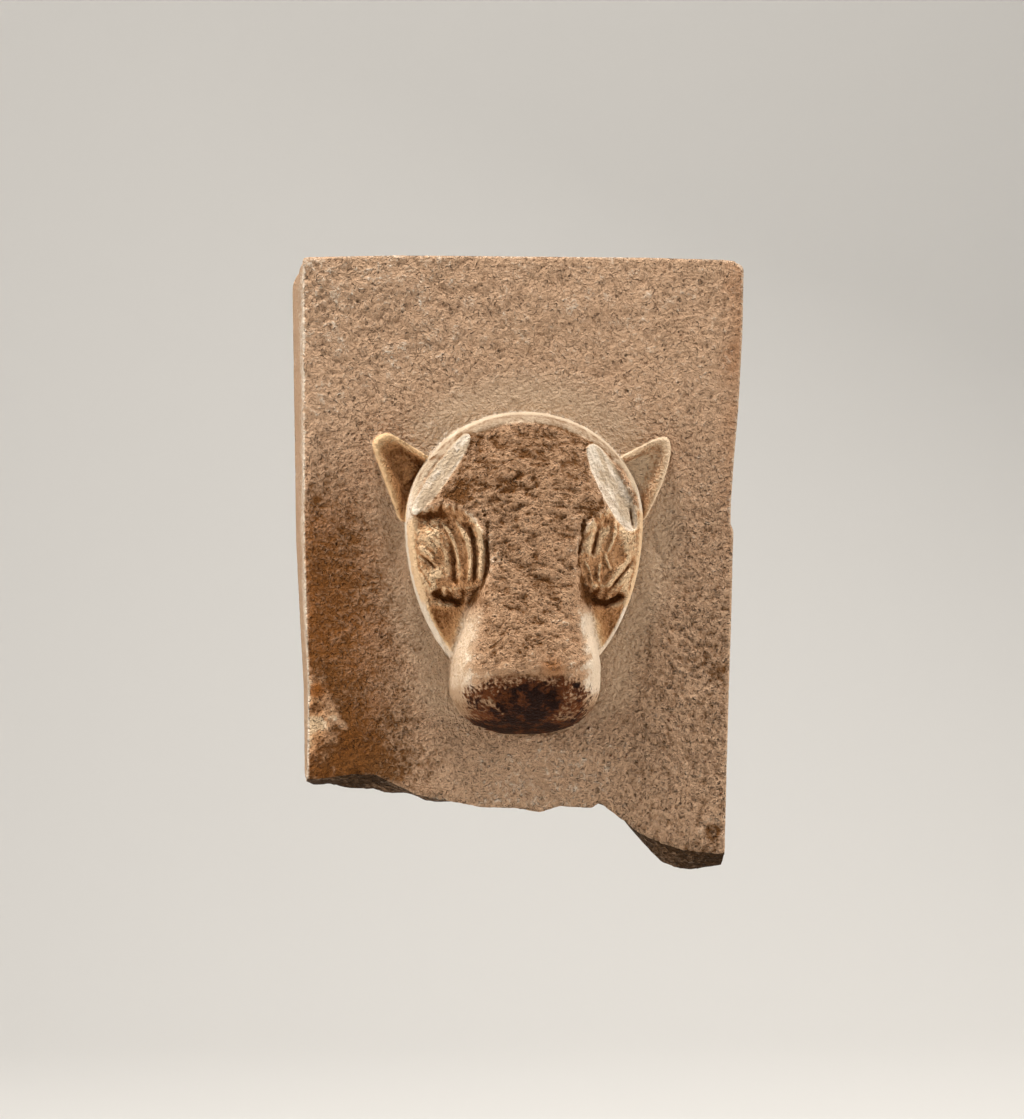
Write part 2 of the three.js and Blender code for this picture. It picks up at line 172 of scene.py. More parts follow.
@dataclass(frozen=True)
class CarvedLine:
    """A ridge (height above 0) or a groove (below 0) that follows a bow through three points.

    Its start tapers over a share of its length, and it is followed in straight pieces.
    """

    path: Points
    width: float
    height: float
    taper: float = 0.35
    end_from: float = 0.84
    pieces: int = 8

    def place(self, share: float) -> tuple[float, float]:
        """Give the point at a share of the bow."""
        start, middle, end = self.path
        return tuple(
            (1 - share) ** 2 * start[k]
            + 2 * share * (1 - share) * (2 * middle[k] - (start[k] + end[k]) / 2)
            + share * share * end[k]
            for k in range(2)
        )

    def measure(self, x: Array, z: Array) -> tuple[Array, Array]:
        """Find how far points are from the bow, and how far along it.

        Args:
            x, z: the points.

        Returns:
            The distances and the shares of the bow.
        """
        nearest = np.full(x.shape, np.inf)
        share = np.zeros(x.shape)
        for index in range(self.pieces):
            (ax, az), (bx, bz) = self.place(index / self.pieces), self.place((index + 1) / self.pieces)
            length = (bx - ax) ** 2 + (bz - az) ** 2
            t = np.clip(((x - ax) * (bx - ax) + (z - az) * (bz - az)) / length, 0, 1)
            distance = np.hypot(x - ax - t * (bx - ax), z - az - t * (bz - az))
            closer = distance < nearest
            nearest = np.where(closer, distance, nearest)
            share = np.where(closer, (index + t) / self.pieces, share)
        return nearest, share

    def relief(self, x: Array, z: Array) -> Array:
        """Give the height that the line adds at each point.

        Args:
            x, z: the points, in millimetres.

        Returns:
            The added height.
        """
        across, up = zip(*self.path)
        reach = 3 * self.width + 3
        near = (x > min(across) - reach) & (x < max(across) + reach)
        near &= (z > min(up) - reach) & (z < max(up) + reach)
        added = np.zeros(x.shape)
        distance, share = self.measure(x[near], z[near])
        ends = fade(0, self.taper, share) * fade(1, self.end_from, share)
        added[near] = self.height * bell(distance, self.width) * ends
        return added


@dataclass(frozen=True)
class Oval:
    """An oval on the face, with half its width and half its height."""

    x: float
    z: float
    across: float
    up: float

    def away(self, x: Array, z: Array) -> Array:
        """Give the distance from the middle, 1 on the outline."""
        return np.hypot((x - self.x) / self.across, (z - self.z) / self.up)


@dataclass(frozen=True)
class Swelling(Oval):
    """A rounded bump (height above 0) or dimple (below 0), or a soft spot of one tone."""

    height: float

    def relief(self, x: Array, z: Array) -> Array:
        """Give the height that the bump adds at each point."""
        return self.height * bell(self.away(x, z), 1)


# ---- the head ----

CROWN: Points = (
    (-107, 0), (-106.2, 9), (-103.5, 22), (-98, 36), (-88, 47.5), (-77, 54), (-69, 56), (-60, 53),
    (-45, 46.5), (-33, 42), (-11, 36.5), (11, 32.5), (38, 27.5), (60, 22.5), (72, 18),
)
CENTRE_LINE: Points = ((-80, 2.8), (-40, 4), (-5, 6), (40, 5), (75, 4))
WALL_HEIGHT: Points = (
    (-80, 11.5), (-45, 12), (-20, 14), (0, 15.5), (25, 17), (50, 18), (75, 17.5),
)


@dataclass
class Skull:
    """The domed skull with its steep wall, and the flat cheeks below the eyes."""

    x: float = 2.6
    z: float = 11.0
    half_width: float = 65.5
    up: float = 59.5
    down: float = 97.0
    wall_left: float = 4.2
    wall_right: float = 2.6
    wall_poll: float = 6.2
    band_step: float = 1.6

    def inset(self, x: Array, z: Array) -> Array:
        """Give the distance in from the skull's outline, negative outside it.

        Args:
            x, z: the points, in millimetres.

        Returns:
            The distance.
        """
        across, up = x - self.x, z - self.z
        reach = np.hypot(across / self.half_width, up / np.where(up > 0, self.up, self.down))
        return np.hypot(across, up) * (1 / np.maximum(reach, 1e-6) - 1)

    def wall_width(self, x: Array, z: Array) -> Array:
        """Give the width of the sloping wall inside the outline."""
        side = np.where(x < curve_along(CENTRE_LINE, z), self.wall_left, self.wall_right)
        return mix(side, self.wall_poll, fade(25, 60, z))

    def wall(self, x: Array, z: Array) -> Array:
        """Give the height of the wall alone."""
        rise = np.clip(self.inset(x, z) / self.wall_width(x, z), 0, 1)
        return curve_along(WALL_HEIGHT, z) * (1 - (1 - rise) ** 2) ** 0.62

    def height(self, x: Array, z: Array) -> Array:
        """Give the height of skull and cheeks.

        Args:
            x, z: the points, in millimetres.

        Returns:
            The height above the slab.
        """
        past = self.inset(x, z) - self.wall_width(x, z)
        edge = curve_along(WALL_HEIGHT, z)
        crown = curve_along(CROWN, np.maximum(z, -45)) - self.band_step * fade(8, -12, z)
        dome = mix(edge, crown, 1 - (1 - np.clip(past / 30, 0, 1)) ** 1.7)
        cheek = edge + 3 * np.clip(past / 20, 0, 1)
        top = mix(cheek, dome, fade(-34, -16, z))
        return np.where(past < 0, self.wall(x, z), top)


@dataclass
class Bridge:
    """The band between the eyes, the bridge of the nose and the muzzle."""

    muzzle_z: float = -77.0
    muzzle_half: float = 41.4
    muzzle_drop: float = 29.9
    roundness: float = 2.3
    half_width: Points = (
        (-77, 41.4), (-69, 41.2), (-60, 39.5), (-50, 36.6), (-40, 34.5), (-31, 31), (-22, 29), (30, 33),
    )

    def aside(self, x: Array, z: Array) -> Array:
        """Give the distance from the centre line as a share of the half width.

        Args:
            x, z: the points, in millimetres.

        Returns:
            The share, 1 at the edge.
        """
        down = np.clip((self.muzzle_z - z) / self.muzzle_drop, 0, 1)
        end = self.muzzle_half * (1 - down ** self.roundness) ** (1 / self.roundness)
        half = np.where(z < self.muzzle_z, end, curve_along(self.half_width, z))
        return np.abs(x - curve_along(CENTRE_LINE, z)) / np.maximum(half, 0.01)

    def height(self, x: Array, z: Array) -> Array:
        """Give the height: nearly flat between the eyes, rounded over the muzzle.

        Args:
            x, z: the points, in millimetres.

        Returns:
            The height above the slab, 0 beside the band.
        """
        aside = np.clip(self.aside(x, z), 0, 1)
        rounded = (1 - aside ** 3.7) ** 0.42
        flat = (1 - 0.04 * aside ** 2) * (1 - aside ** 14) ** 0.5
        height = curve_along(CROWN, z) * mix(rounded, flat, fade(-50, -22, z)) - 6 * fade(4, 26, z)
        return np.where((z < CROWN[0][0]) | (z > 28), 0, np.maximum(height, 0))


LEFT_EYE = (
    CarvedLine(((-57.4, -3.1), (-52, -6.5), (-47.3, -11.3)), 1.4, 2.4),
    CarvedLine(((-57, -6.7), (-51, -11.2), (-45.8, -16.6)), 0.7, -1.9),
    CarvedLine(((-57, -12.3), (-53, -19.5), (-47.8, -27)), 0.8, -1.2),
    CarvedLine(((-49.5, 1.9), (-43.5, -4.5), (-40.4, -12.3)), 1.3, 1.2),
    CarvedLine(((-39.5, 2), (-37.2, -12), (-36.6, -25)), 1.8, -3),
    CarvedLine(((-45, 10.5), (-37.8, 0.5), (-33.7, -17)), 0.8, 2.4),
    CarvedLine(((-37.2, 11.5), (-28.9, -4.5), (-29.7, -24)), 1.5, 4.6),
    CarvedLine(((-29.5, 23.8), (-23, 0), (-23.4, -24)), 1.8, 4.6),
    CarvedLine(((-31.5, 15), (-26.2, -4), (-26.4, -25)), 1.0, -2.6),
    CarvedLine(((-41.4, -24.5), (-38.5, -27.5), (-36, -31)), 0.5, 1.0),
    CarvedLine(((-20, 17), (-19.2, -4), (-19.6, -22)), 0.9, -1.6),
    Swelling(-48.5, -19.5, 7.5, 7, 3.6),
    Swelling(-50, 3, 5.5, 5, 1.6),
)
LEFT_PITS = (
    CarvedLine(((-47.5, -26.5), (-41.5, -31.8), (-29.5, -34)), 2.3, -5.5, 0.16),
    Swelling(-49.5, 13.4, 7.5, 2.2, -3.6),
)
RIGHT_EYE = (
    CarvedLine(((63.6, -8.2), (55.3, -18.4), (47, -29)), 0.7, -1.9),
    CarvedLine(((61.5, -6.6), (53.2, -16.8), (45, -27.4)), 1.5, 1.6),
    CarvedLine(((65, -11), (57.5, -20.6), (49.5, -30)), 1.7, 1.6),
    CarvedLine(((51.5, 14), (50.8, 3), (46.2, -8)), 0.8, 1.7),
    CarvedLine(((46.2, -6), (46.4, -11), (49.5, -17)), 0.8, 1.5),
    CarvedLine(((42.4, 9.5), (40.4, 0.4), (38.2, -9)), 1.1, -3.4),
    CarvedLine(((38.8, 15), (37.3, 3), (35.4, -9)), 2.2, 2.2),
    CarvedLine(((33, 16), (32.6, 3), (29.8, -9)), 1.1, -2.2),
    CarvedLine(((29.8, -7), (30, -17), (34, -26)), 1.0, -1.4),
    CarvedLine(((33, -11.3), (36.8, -16.8), (38.6, -27)), 0.7, 1.5),
    CarvedLine(((43.6, -11), (42, -17), (42.6, -24)), 0.9, 1.5),
    Swelling(56, -19.5, 7, 7.5, 3.2),
    Swelling(60.5, -1, 4, 7, 1.8),
)
RIGHT_PITS = (
    CarvedLine(((38, -31.5), (47, -34.3), (57.5, -28)), 2.1, -5.2, 0.16),
    Swelling(38.5, -30, 4.5, 3.6, -3.6),
)
PIN_HOLE_DEPTH, PIN_HOLE_RADIUS = 1.8, 0.75
PIN_HOLES: Points = (
    (-24.8, 13.9), (-21.6, 15.6), (-20.6, 13.3), (-23.2, 10.8), (-18.6, -1.9), (-14.9, -10.8),
    (-11.6, -11), (-12.5, -13.6), (-25.5, 20.5),
)


@dataclass
class EyeSockets:
    """The hollows at both sides of the band, with the folds of the brow and the lids in them."""

    face_x: float = 6.0
    out: float = 49.5
    z: float = -9.0
    radius: float = 26.0
    stretch: float = 1.12

    def turned(self, x: Array, z: Array) -> Array:
        """Give the distance from the middle of the nearer socket, measured round its oval."""
        return np.hypot(np.abs(x - self.face_x) - self.out, (z - self.z) / self.stretch)

    def floor(self, x: Array, z: Array) -> Array:
        """Give the sloping floor, deeper under the horn and swelling above the lids.

        Args:
            x, z: the points, in millimetres.

        Returns:
            The height above the slab.
        """
        out = np.abs(x - self.face_x)
        slope = 1.5 + 14.5 * np.clip((62 - out) / 36, 0, 1) ** 1.15
        swelling = 3.2 * np.exp(-(((out - 55) / 8) ** 2) - ((z + 1) / 9) ** 2)
        return curve_along(WALL_HEIGHT, z) + slope + swelling - 2.5 * fade(3, 13, z)

    def carve(self, surface: Array, wall: Array, x: Array, z: Array) -> Array:
        """Cut the sockets out of the skull and carve the eyes in them.

        Args:
            surface: the height of skull and bridge.
            wall: the height of the skull's wall.
            x, z: the points.

        Returns:
            The height with the eyes.
        """
        distance = self.turned(x, z)
        inside = fade(self.radius + 0.8, self.radius - mix(1.2, 8.0, fade(-2, 10, z)), distance)
        near = fade(self.radius + 9, self.radius + 1, distance) * fade(1, 4, surface)
        lines = sum(line.relief(x, z) for line in LEFT_EYE + LEFT_PITS + RIGHT_EYE + RIGHT_PITS)
        ragged = 0.9 * face_lumps(x, z * 0.6, 3.1, 5) + 0.5 * face_lumps(x, z * 0.7, 1.7, 6)
        upper = fade(2, 12, z) * fade(64, 56, np.abs(x - self.face_x))
        floor = np.minimum(surface, self.floor(x, z))
        carved = mix(surface, floor, inside) + near * (lines + ragged * mix(0.12, 1.25, upper))
        inner = distance < self.radius + 9
        limit = np.maximum(wall + 1.2, np.minimum(surface, wall + 60 * (wall > 11)))
        return np.where(inner & (surface > 1), np.minimum(carved, limit + 6 * inside), surface)


@dataclass
class HornScar:
    """The flat, leaf-shaped break where a horn was."""

    start: tuple[float, float]
    end: tuple[float, float]
    half_width: float
    low: float
    high: float
    tilt: float

    def frame(self, x: Array, z: Array) -> tuple[Array, Array, Array]:
        """Measure points along and across the leaf.

        Args:
            x, z: the points.

        Returns:
            The share along it, the distance across it, and how far outside its edge a point is.
        """
        dx, dz = self.end[0] - self.start[0], self.end[1] - self.start[1]
        length = math.hypot(dx, dz)
        share = ((x - self.start[0]) * dx + (z - self.start[1]) * dz) / length**2
        across = ((x - self.start[0]) * dz - (z - self.start[1]) * dx) / length
        inner = np.clip(share, 0, 1)
        width = self.half_width * (2 * np.sqrt(inner * (1 - inner))) ** 0.8
        beyond = np.maximum(0, np.maximum(-share, share - 1)) * length
        return share, across, np.abs(across) - width + beyond

    def cut(self, surface: Array, x: Array, z: Array) -> Array:
        """Flatten the surface to the break.

        Args:
            surface: the height of the head.
            x, z: the points.

        Returns:
            The height with the scar.
        """
        share, across, outside = self.frame(x, z)
        outside = outside + 0.55 * face_lumps(x, z, 3.4, 11)
        plane = mix(self.low, self.high, np.clip(share, 0, 1)) + self.tilt * across
        fibres = 0.32 * face_lumps(across, share * 12, 1.3, 12)
        inside = fade(0.45, -0.45, outside) * (surface > 2)
        return mix(surface, plane + fibres, inside)


@dataclass
class Ear:
    """A leaf-shaped ear with a thin standing rim, scooped out towards the skull."""

    outline: Points
    hollow: tuple[float, float]
    heights: Points = ((10, 1), (18, 6), (30, 9.5), (60, 10.5))
    floor: float = 1.5
    scoop: float = 6.5
    roundness: float = 20.0

    def shares(self, x: Array, z: Array) -> Array:
        """Give how far in from the outline towards the hollow a point is, negative outside.

        Args:
            x, z: the points, in millimetres.

        Returns:
            The share of the way in.
        """
        hx, hz = self.hollow
        reach = np.zeros(x.shape)
        count = len(self.outline)
        for index in range(count):
            (ax, az), (bx, bz) = self.outline[index], self.outline[(index + 1) % count]
            nx, nz = bz - az, ax - bx
            ratio = ((x - hx) * nx + (z - hz) * nz) / ((ax - hx) * nx + (az - hz) * nz)
            reach = reach + np.maximum(ratio, 0) ** self.roundness
        return 1 - reach ** (1 / self.roundness)

    def height(self, x: Array, z: Array) -> Array:
        """Give the height of rim and bowl.

        Args:
            x, z: the points, in millimetres.

        Returns:
            The height above the slab.
        """
        share = self.shares(x, z)
        edge_z = self.hollow[1] + (z - self.hollow[1]) / np.maximum(1 - share, 0.02)
        rim = curve_along(self.heights, edge_z)
        wall = rim * (1 - (1 - np.clip(share / 0.045, 0, 1)) ** 2) ** 0.6
        bowl = np.maximum(self.floor, rim - self.scoop * fade(0.085, 0.5, share))
        ribs = 0.35 * face_lumps(share * 30, z * 0.4, 2.4, 21) * fade(0.15, 0.4, share)
        return np.where(share < 0, 0, np.minimum(wall, bowl + ribs))


@dataclass
class Head:
    """The bull's head: skull, bridge, eyes, scars of the horns, ears and muzzle."""

    skull: Skull = field(default_factory=Skull)
    bridge: Bridge = field(default_factory=Bridge)
    sockets: EyeSockets = field(default_factory=EyeSockets)
    scars: tuple[HornScar, ...] = (
        HornScar((-59, 14), (-28.5, 57.5), 5, 19.5, 21, 0.3),
        HornScar((61.5, 5), (38, 52), 7.2, 19, 21.5, -0.3),
    )
    ears: tuple[Ear, ...] = (
        Ear(((-48, 44.5), (-71.5, 59.2), (-78.5, 58), (-82, 52.5), (-77, 38), (-66, 10), (-58, 10)),
            (-55, 36)),
        Ear(((50, 43), (77, 57), (82, 57.5), (84.5, 51.5), (81, 34.7), (69.5, 10.5), (61, 10)),
            (57, 35)),
    )
    muzzle_marks: tuple = (
        CarvedLine(((-21.5, -85), (-15.5, -90.5), (-9.5, -95.5)), 0.9, 1.3),
        CarvedLine(((-24, -76), (2, -73.4), (29, -76)), 1.6, -0.9),
        CarvedLine(((-22, -97.5), (3, -102.5), (27, -98.5)), 0.9, -0.9),
        Swelling(1.5, -85.5, 4.4, 4.4, 1.1),
        Swelling(1.5, -85.5, 2.4, 2.4, -1.0),
        Swelling(-9, -83, 10, 7, -1.6),
        Swelling(13, -84, 9, 8, -1.4),
    )
    slit: CarvedLine = CarvedLine(((60.3, 20.5), (60.4, 13), (62, 5)), 0.7, -2.6)
    fillet: float = 1.6
    border_step: float = 0.7

    def inset(self, x: Array, z: Array) -> Array:
        """Give the distance in from the outline of skull and muzzle, negative outside.

        Args:
            x, z: the points, in millimetres.

        Returns:
            The distance.
        """
        muzzle = (1 - self.bridge.aside(x, z)) * self.bridge.muzzle_half
        muzzle = np.where((z < self.bridge.muzzle_z + 20) & (z > CROWN[0][0]), muzzle, -99)
        return np.maximum(self.skull.inset(x, z), muzzle)

    def crown_border(self, x: Array, z: Array) -> Array:
        """Give the distance in from the ragged upper border of the tooled forehead."""
        ragged = 1.5 * face_lumps(x, z, 7, 31) + 0.8 * face_lumps(x, z, 2.8, 32)
        return self.skull.inset(x, z) - self.skull.wall_width(x, z) - 0.6 + ragged

    def height(self, x: Array, z: Array) -> Array:
        """Give the height above the slab's face, 0 beside the head.

        Args:
            x, z: the points, in millimetres.

        Returns:
            The height with eyes, scars, marks and ears.
        """
        wall = np.where(self.skull.inset(x, z) > 0, self.skull.wall(x, z), 0)
        skull = np.where(self.skull.inset(x, z) > 0, self.skull.height(x, z), 0)
        bridge = self.bridge.height(x, z)
        surface = smooth_max(skull, bridge, self.fillet) * ((skull > 0) | (bridge > 0))
        surface = self.sockets.carve(surface, wall, x, z)
        border = fade(-0.6, 1.2, self.crown_border(x, z)) * fade(18, 34, z) - fade(18, 34, z)
        border *= (surface > 10) * fade(1.2, 2.5, self.skull.inset(x, z))
        surface = surface + self.border_step * border
        for scar in self.scars:
            surface = scar.cut(surface, x, z)
        marks = sum(mark.relief(x, z) for mark in self.muzzle_marks) + self.slit.relief(x, z)
        knocked = 0.9 * face_lumps(x, z, 7, 35) + 0.5 * np.abs(face_lumps(x, z, 3, 36))
        marks = marks + knocked * fade(-66, -76, z) * fade(36, 26, np.abs(x - 4))
        surface = surface + marks * (surface > 3)
        for hx, hz in PIN_HOLES:
            surface = surface - PIN_HOLE_DEPTH * bell(np.hypot(x - hx, z - hz), PIN_HOLE_RADIUS)
        for ear in self.ears:
            surface = np.maximum(surface, ear.height(x, z))
        return np.maximum(surface, 0)


# ---- the slab ----

@dataclass(frozen=True)
class Chip(Oval):
    """A shallow piece knocked off the face."""

    depth: float

    def depth_at(self, x: Array, z: Array) -> Array:
        """Give the depth below the face.

        Args:
            x, z: the points, in millimetres.

        Returns:
            The depth, with the steps of the break.
        """
        away = self.away(x, z) + 0.16 * face_lumps(x, z, 7, 41) + 0.08 * face_lumps(x, z, 3, 42)
        steps = 0.5 * face_lumps(x, z * 0.5, 5, 43) + 0.35 * face_lumps(x, z, 2.4, 44)
        return fade(1.0, 0.62, away) * (self.depth + steps)

    def cover(self, x: Array, z: Array) -> Array:
        """Give 1 inside the chip and 0 outside."""
        return fade(1.05, 0.7, self.away(x, z) + 0.16 * face_lumps(x, z, 7, 41))


@dataclass
class Slab:
    """The dressed slab with worn edges, a leaning left side and a broken foot."""

    thickness: float = 64.0
    edge_wear: float = 1.4
    foot_wear: float = 0.6
    ridge_depth: float = 18.0
    back_edge_rise: float = 3.0
    right_lean: float = -1.0
    left_edge: Points = ((-135, -116.4), (-83, -115.9), (-44, -117.3), (0, -118.5), (157, -118.8))
    right_edge: Points = (
        (-174, 113.9), (-129, 115), (-88, 116.1), (-55, 117.2), (5, 118.8), (9, 117.2), (21, 117.4),
        (41, 118.8), (74, 121.6), (115, 123.8), (157, 124.6),
    )
    top_edge: Points = ((-119, 155.2), (-65, 156.5), (66, 155.8), (108, 154.8), (125, 152.8))
    broken_edge: Points = (
        (-116.4, -131.5), (-92, -128.6), (-80, -128.8), (-69, -134.4), (-57, -139.9), (-40, -143.4),
        (-21, -146.9), (-2, -147.6), (12, -149.9), (24, -146.5), (42, -147.6), (47, -144.8),
        (58, -152.6), (70, -161.4), (83, -167), (97, -171.3), (113.9, -173),
    )
    ridge_edge: Points = (
        (-117, -134.8), (-113, -137.3), (-80, -137.6), (-69, -140.8), (-50, -144.9), (0, -146.5),
        (42, -146), (55, -151.5), (66, -160.8), (78, -173.8), (85, -180.4), (96, -184.8), (114, -182),
    )
    left_lean: Points = ((-135, 0.4), (0, 3.2), (157, 5.2))
    corners: tuple = ((-118.8, 155.2, 2.0, 15.0), (124.6, 152.8, 4.5, 6.0))
    chips: tuple[Chip, ...] = (
        Chip(-119, -98, 16.5, 25, 2.3),
        Chip(-120, -36, 5.6, 12, 2.0),
    )
    pebble: Swelling = Swelling(107, -160.6, 3.9, 3.7, -1.2)
    ring_mark: tuple[float, float, float] = (-111.7, 136.4, 3.2)
    marks: tuple[Swelling, ...] = (
        Swelling(-111, 22, 1.8, 1.8, -1.3), Swelling(-90, -1, 1.1, 1.1, -1.1),
        Swelling(112, -72, 5.0, 5.0, -0.6), Swelling(102, 118, 2.0, 2.0, -0.5),
    )
    left: float = -117.0
    right: float = 119.0
    top: float = 155.0
    bottom: float = -150.0
    shear_above: float = 128.0
    shear_below: float = -104.0

    def edge_inset(self, depth: float) -> float:
        """Give how far the rounded front edge lies in from the outline at a depth."""
        rest = 1 - min(1.0, depth / self.edge_wear)
        return self.edge_wear * (1 - math.sqrt(max(0.0, 1 - rest * rest)))

    def place(self, across: Array, up: Array, depth: float) -> tuple[Array, Array]:
        """Move a place of the plain rectangle on to the real outline at a depth.

        Args:
            across, up: the place in the plain rectangle.
            depth: the distance behind the dressed face.

        Returns:
            The real x and z.
        """
        share = depth / self.thickness
        inset = self.edge_inset(depth)
        height = (up - self.shear_above) / (self.top - self.shear_above)
        upper = mix(self.shear_above, along(self.top_edge, across) - inset, height)
        behind = np.clip((depth - self.foot_wear) / (self.ridge_depth - self.foot_wear), 0, 1)
        foot = mix(along(self.broken_edge, across), along(self.ridge_edge, across), behind)
        past = np.clip((depth - self.ridge_depth) / (self.thickness - self.ridge_depth), 0, 1)
        foot = foot + self.back_edge_rise * past
        height = (up - self.shear_below) / (self.bottom - self.shear_below)
        lower = mix(self.shear_below, foot, height)
        z = np.where(up > self.shear_above, upper, np.where(up < self.shear_below, lower, up))
        left = along(self.left_edge, z) + inset - along(self.left_lean, z) * share
        right = along(self.right_edge, z) - inset + self.right_lean * share
        x = np.where(across < 0, across * left / self.left, across * right / self.right)
        for corner_x, corner_z, front, back in self.corners:
            radius = mix(front, back, share)
            lean = share * (-5.2 if corner_x < 0 else self.right_lean)
            x, z = self.round_corner(x, z, corner_x + lean, corner_z - inset, radius, inset)
        return x, z

    @staticmethod
    def round_corner(
        x: Array, z: Array, corner_x: float, corner_z: float, radius: float, inset: float
    ) -> tuple[Array, Array]:
        """Turn a square corner into a round one.

        Args:
            x, z: the points.
            corner_x, corner_z: the square corner.
            radius: of the arc.
            inset: how far the whole outline lies in.

        Returns:
            The moved points.
        """
        out = -1 if corner_x < 0 else 1
        edge = corner_x - out * inset
        u = np.clip(((x - edge) * out + radius) / radius, 0, 1)
        v = np.clip((z - corner_z + radius) / radius, 0, 1)
        at_corner = (u > 0) & (v > 0)
        pulled_x = edge + out * radius * (u * np.sqrt(1 - v * v / 2) - 1)
        pulled_z = corner_z + radius * (v * np.sqrt(1 - u * u / 2) - 1)
        return np.where(at_corner, pulled_x, x), np.where(at_corner, pulled_z, z)

    def ground(self, x: Array, z: Array, inset: Array) -> Array:
        """Give the height of the dressed face itself, with its hollows, chips and marks.

        Args:
            x, z: the points.
            inset: the distance in from the head's outline.

        Returns:
            Heights, mostly a little below 0.
        """
        dish = -1.0 * np.exp(np.minimum(0, inset) / 9)
        uneven = 0.45 * face_lumps(x, z, 34, 51) + 0.25 * face_lumps(x, z, 13, 52)
        surface = dish + uneven * fade(0, -12, inset) - 0.3
        for chip in self.chips:
            surface = surface - chip.depth_at(x, z)
        left = x - along(self.left_edge, z)
        nibble = 2.2 + 1.6 * face_lumps(0 * x, z, 9, 53) + 1.2 * face_lumps(0 * x, z, 3.5, 54)
        surface = surface - 1.5 * fade(nibble + 1.2, nibble - 1.4, left) * fade(0.2, 0.8, nibble)
        foot = z - along(self.broken_edge, x)
        nibble = 1.4 + 2.0 * face_lumps(x, 0 * x, 11, 55) + 1.0 * face_lumps(x, 0 * x, 4, 56)
        surface = surface - 1.3 * fade(nibble + 1.0, nibble - 1.2, foot) * fade(0.1, 0.8, nibble)
        ring_x, ring_z, radius = self.ring_mark
        ring = np.abs(np.hypot(x - ring_x, z - ring_z) - radius)
        return surface + self.pebble.relief(x, z) - 0.5 * bell(ring, 0.6)


# ---- the patina, and the painted light and shade ----

# Painted shade: dark spots in the eye sockets, under the eyes and under the horns' scars, where the carving
# overhangs.
SOCKET_PAINTED_SHADE = (
    Swelling(-33, -25, 10, 8, -0.75), Swelling(39, -25, 8, 11, -0.75), Swelling(-44, 15, 9, 3.5, -0.75),
    Swelling(-33, 24, 6, 8, -0.75), Swelling(40, 16, 7, 5, -0.75),
)
RUSTY_SPOT = Swelling(15, -69, 9, 6.5, 0.9)
RUSTY_HOLLOW = Swelling(-112, -83, 5.5, 4.5, 1.0)


